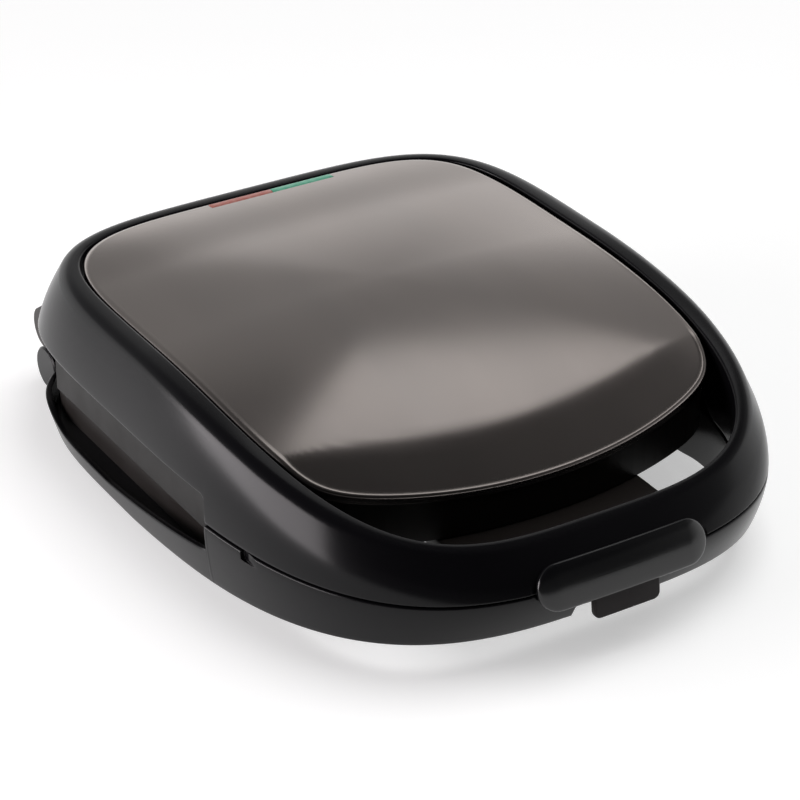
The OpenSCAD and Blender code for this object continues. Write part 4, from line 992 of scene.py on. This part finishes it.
def make_floor():
    mesh = bpy.data.meshes.new("studio_floor")
    mesh.from_pydata([(-6, -6, 0), (6, -6, 0), (6, 6, 0), (-6, 6, 0)], [], [(0, 1, 2, 3)])
    floor = bpy.data.objects.new("studio_floor", mesh)
    bpy.context.scene.collection.objects.link(floor)
    paper = bpy.data.materials.new("white_paper")
    paper.use_nodes = True
    nodes, links = paper.node_tree.nodes, paper.node_tree.links
    nodes.remove(nodes["Principled BSDF"])
    diffuse = nodes.new("ShaderNodeBsdfDiffuse")
    glow = nodes.new("ShaderNodeEmission")
    glow.inputs["Color"].default_value = (1, 1, 1, 1)
    seen = seen_white(nodes, links)
    tone = nodes.new("ShaderNodeMix")
    tone.data_type = "RGBA"
    tone.inputs["A"].default_value = (0.24, 0.24, 0.24, 1)
    tone.inputs["B"].default_value = (0.70, 0.70, 0.70, 1)
    links.new(seen, tone.inputs["Factor"])
    links.new(tone.outputs["Result"], diffuse.inputs["Color"])
    strength = nodes.new("ShaderNodeMath")
    strength.operation = "MULTIPLY"
    strength.inputs[1].default_value = 0.46
    links.new(seen, strength.inputs[0])
    links.new(strength.outputs[0], glow.inputs["Strength"])
    both = nodes.new("ShaderNodeAddShader")
    links.new(diffuse.outputs[0], both.inputs[0])
    links.new(glow.outputs[0], both.inputs[1])
    place = nodes.new("ShaderNodeTexCoord")
    length = nodes.new("ShaderNodeVectorMath")
    length.operation = "LENGTH"
    links.new(place.outputs["Object"], length.inputs[0])
    far = nodes.new("ShaderNodeMapRange")
    far.interpolation_type = "SMOOTHSTEP"
    far.inputs["From Min"].default_value, far.inputs["From Max"].default_value = 0.34, 0.9
    links.new(length.outputs["Value"], far.inputs["Value"])
    seen_far = nodes.new("ShaderNodeMath")
    seen_far.operation = "MULTIPLY"
    links.new(far.outputs["Result"], seen_far.inputs[0])
    links.new(seen, seen_far.inputs[1])
    white = nodes.new("ShaderNodeEmission")
    white.inputs["Color"].default_value = (1, 1, 1, 1)
    blend = nodes.new("ShaderNodeMixShader")
    links.new(seen_far.outputs[0], blend.inputs[0])
    links.new(both.outputs[0], blend.inputs[1])
    links.new(white.outputs[0], blend.inputs[2])
    links.new(blend.outputs[0], nodes["Material Output"].inputs["Surface"])
    mesh.materials.append(paper)


def make_world():
    """A studio with a bright horizon, a dark ceiling and a dark side behind the camera."""
    world = bpy.data.worlds.new("studio")
    bpy.context.scene.world = world
    world.use_nodes = True
    nodes, links = world.node_tree.nodes, world.node_tree.links
    out = nodes["Background"]
    place = nodes.new("ShaderNodeTexCoord")
    split = nodes.new("ShaderNodeSeparateXYZ")
    links.new(place.outputs["Generated"], split.inputs[0])
    heights = nodes.new("ShaderNodeValToRGB")
    ramp = heights.color_ramp
    ramp.interpolation = "B_SPLINE"
    levels = ((0.0, 1.0), (0.35, 1.0), (0.38, 0.70), (0.42, 0.30), (0.50, 0.25), (0.62, 0.27),
              (0.72, 0.08), (1.0, 0.03))
    while len(ramp.elements) < len(levels):
        ramp.elements.new(0.5)
    for element, (height, level) in zip(ramp.elements, levels):
        element.position, element.color = height, (level, level, level, 1)
    links.new(split.outputs["Z"], heights.inputs["Fac"])
    away = nodes.new("ShaderNodeVectorMath")
    away.operation = "DOT_PRODUCT"
    away.inputs[1].default_value = (-math.sin(TURN), math.cos(TURN), 0)
    links.new(place.outputs["Generated"], away.inputs[0])
    side = nodes.new("ShaderNodeMapRange")
    side.interpolation_type = "SMOOTHSTEP"
    for socket, value in (("From Min", -0.45), ("From Max", 0.25), ("To Min", 0.10), ("To Max", 1.12)):
        side.inputs[socket].default_value = value
    links.new(away.outputs["Value"], side.inputs["Value"])
    level = nodes.new("ShaderNodeMath")
    level.operation = "MULTIPLY"
    links.new(heights.outputs["Color"], level.inputs[0])
    links.new(side.outputs["Result"], level.inputs[1])
    out.inputs["Color"].default_value = (1, 1, 1, 1)
    links.new(level.outputs[0], out.inputs["Strength"])


def softbox(name, place, aim, width, height, radiance):
    data = bpy.data.lights.new(name, "AREA")
    data.shape, data.size, data.size_y = "RECTANGLE", width, height
    data.energy = radiance * math.pi * width * height
    lamp = bpy.data.objects.new(name, data)
    bpy.context.scene.collection.objects.link(lamp)
    lamp.location = place
    lamp.rotation_mode = "QUATERNION"
    lamp.rotation_quaternion = (Vector(aim) - Vector(place)).to_track_quat("-Z", "Y")
    return lamp


make_floor()
make_world()
def toward(azimuth, elevation, far):
    t, e = math.radians(azimuth), math.radians(elevation)
    return Vector((math.cos(t) * math.cos(e), math.sin(t) * math.cos(e), math.sin(e))) * far


overhead = softbox("overhead_softbox", (0.30, -0.20, 1.25), (0, 0, 0), 1.1, 0.9, 3.4)
overhead.visible_glossy = False
softbox("rear_strip", toward(42.5, 53.5, 1.3), (0, 0, 0.07), 0.50, 0.38, 0.88)
left = softbox("left_softbox", toward(165, 12, 1.2), (0, 0, 0.05), 1.10, 0.62, 7.8)
left.data.color = (1.0, 0.94, 0.965)

bpy.context.scene.view_settings.view_transform = "Standard"
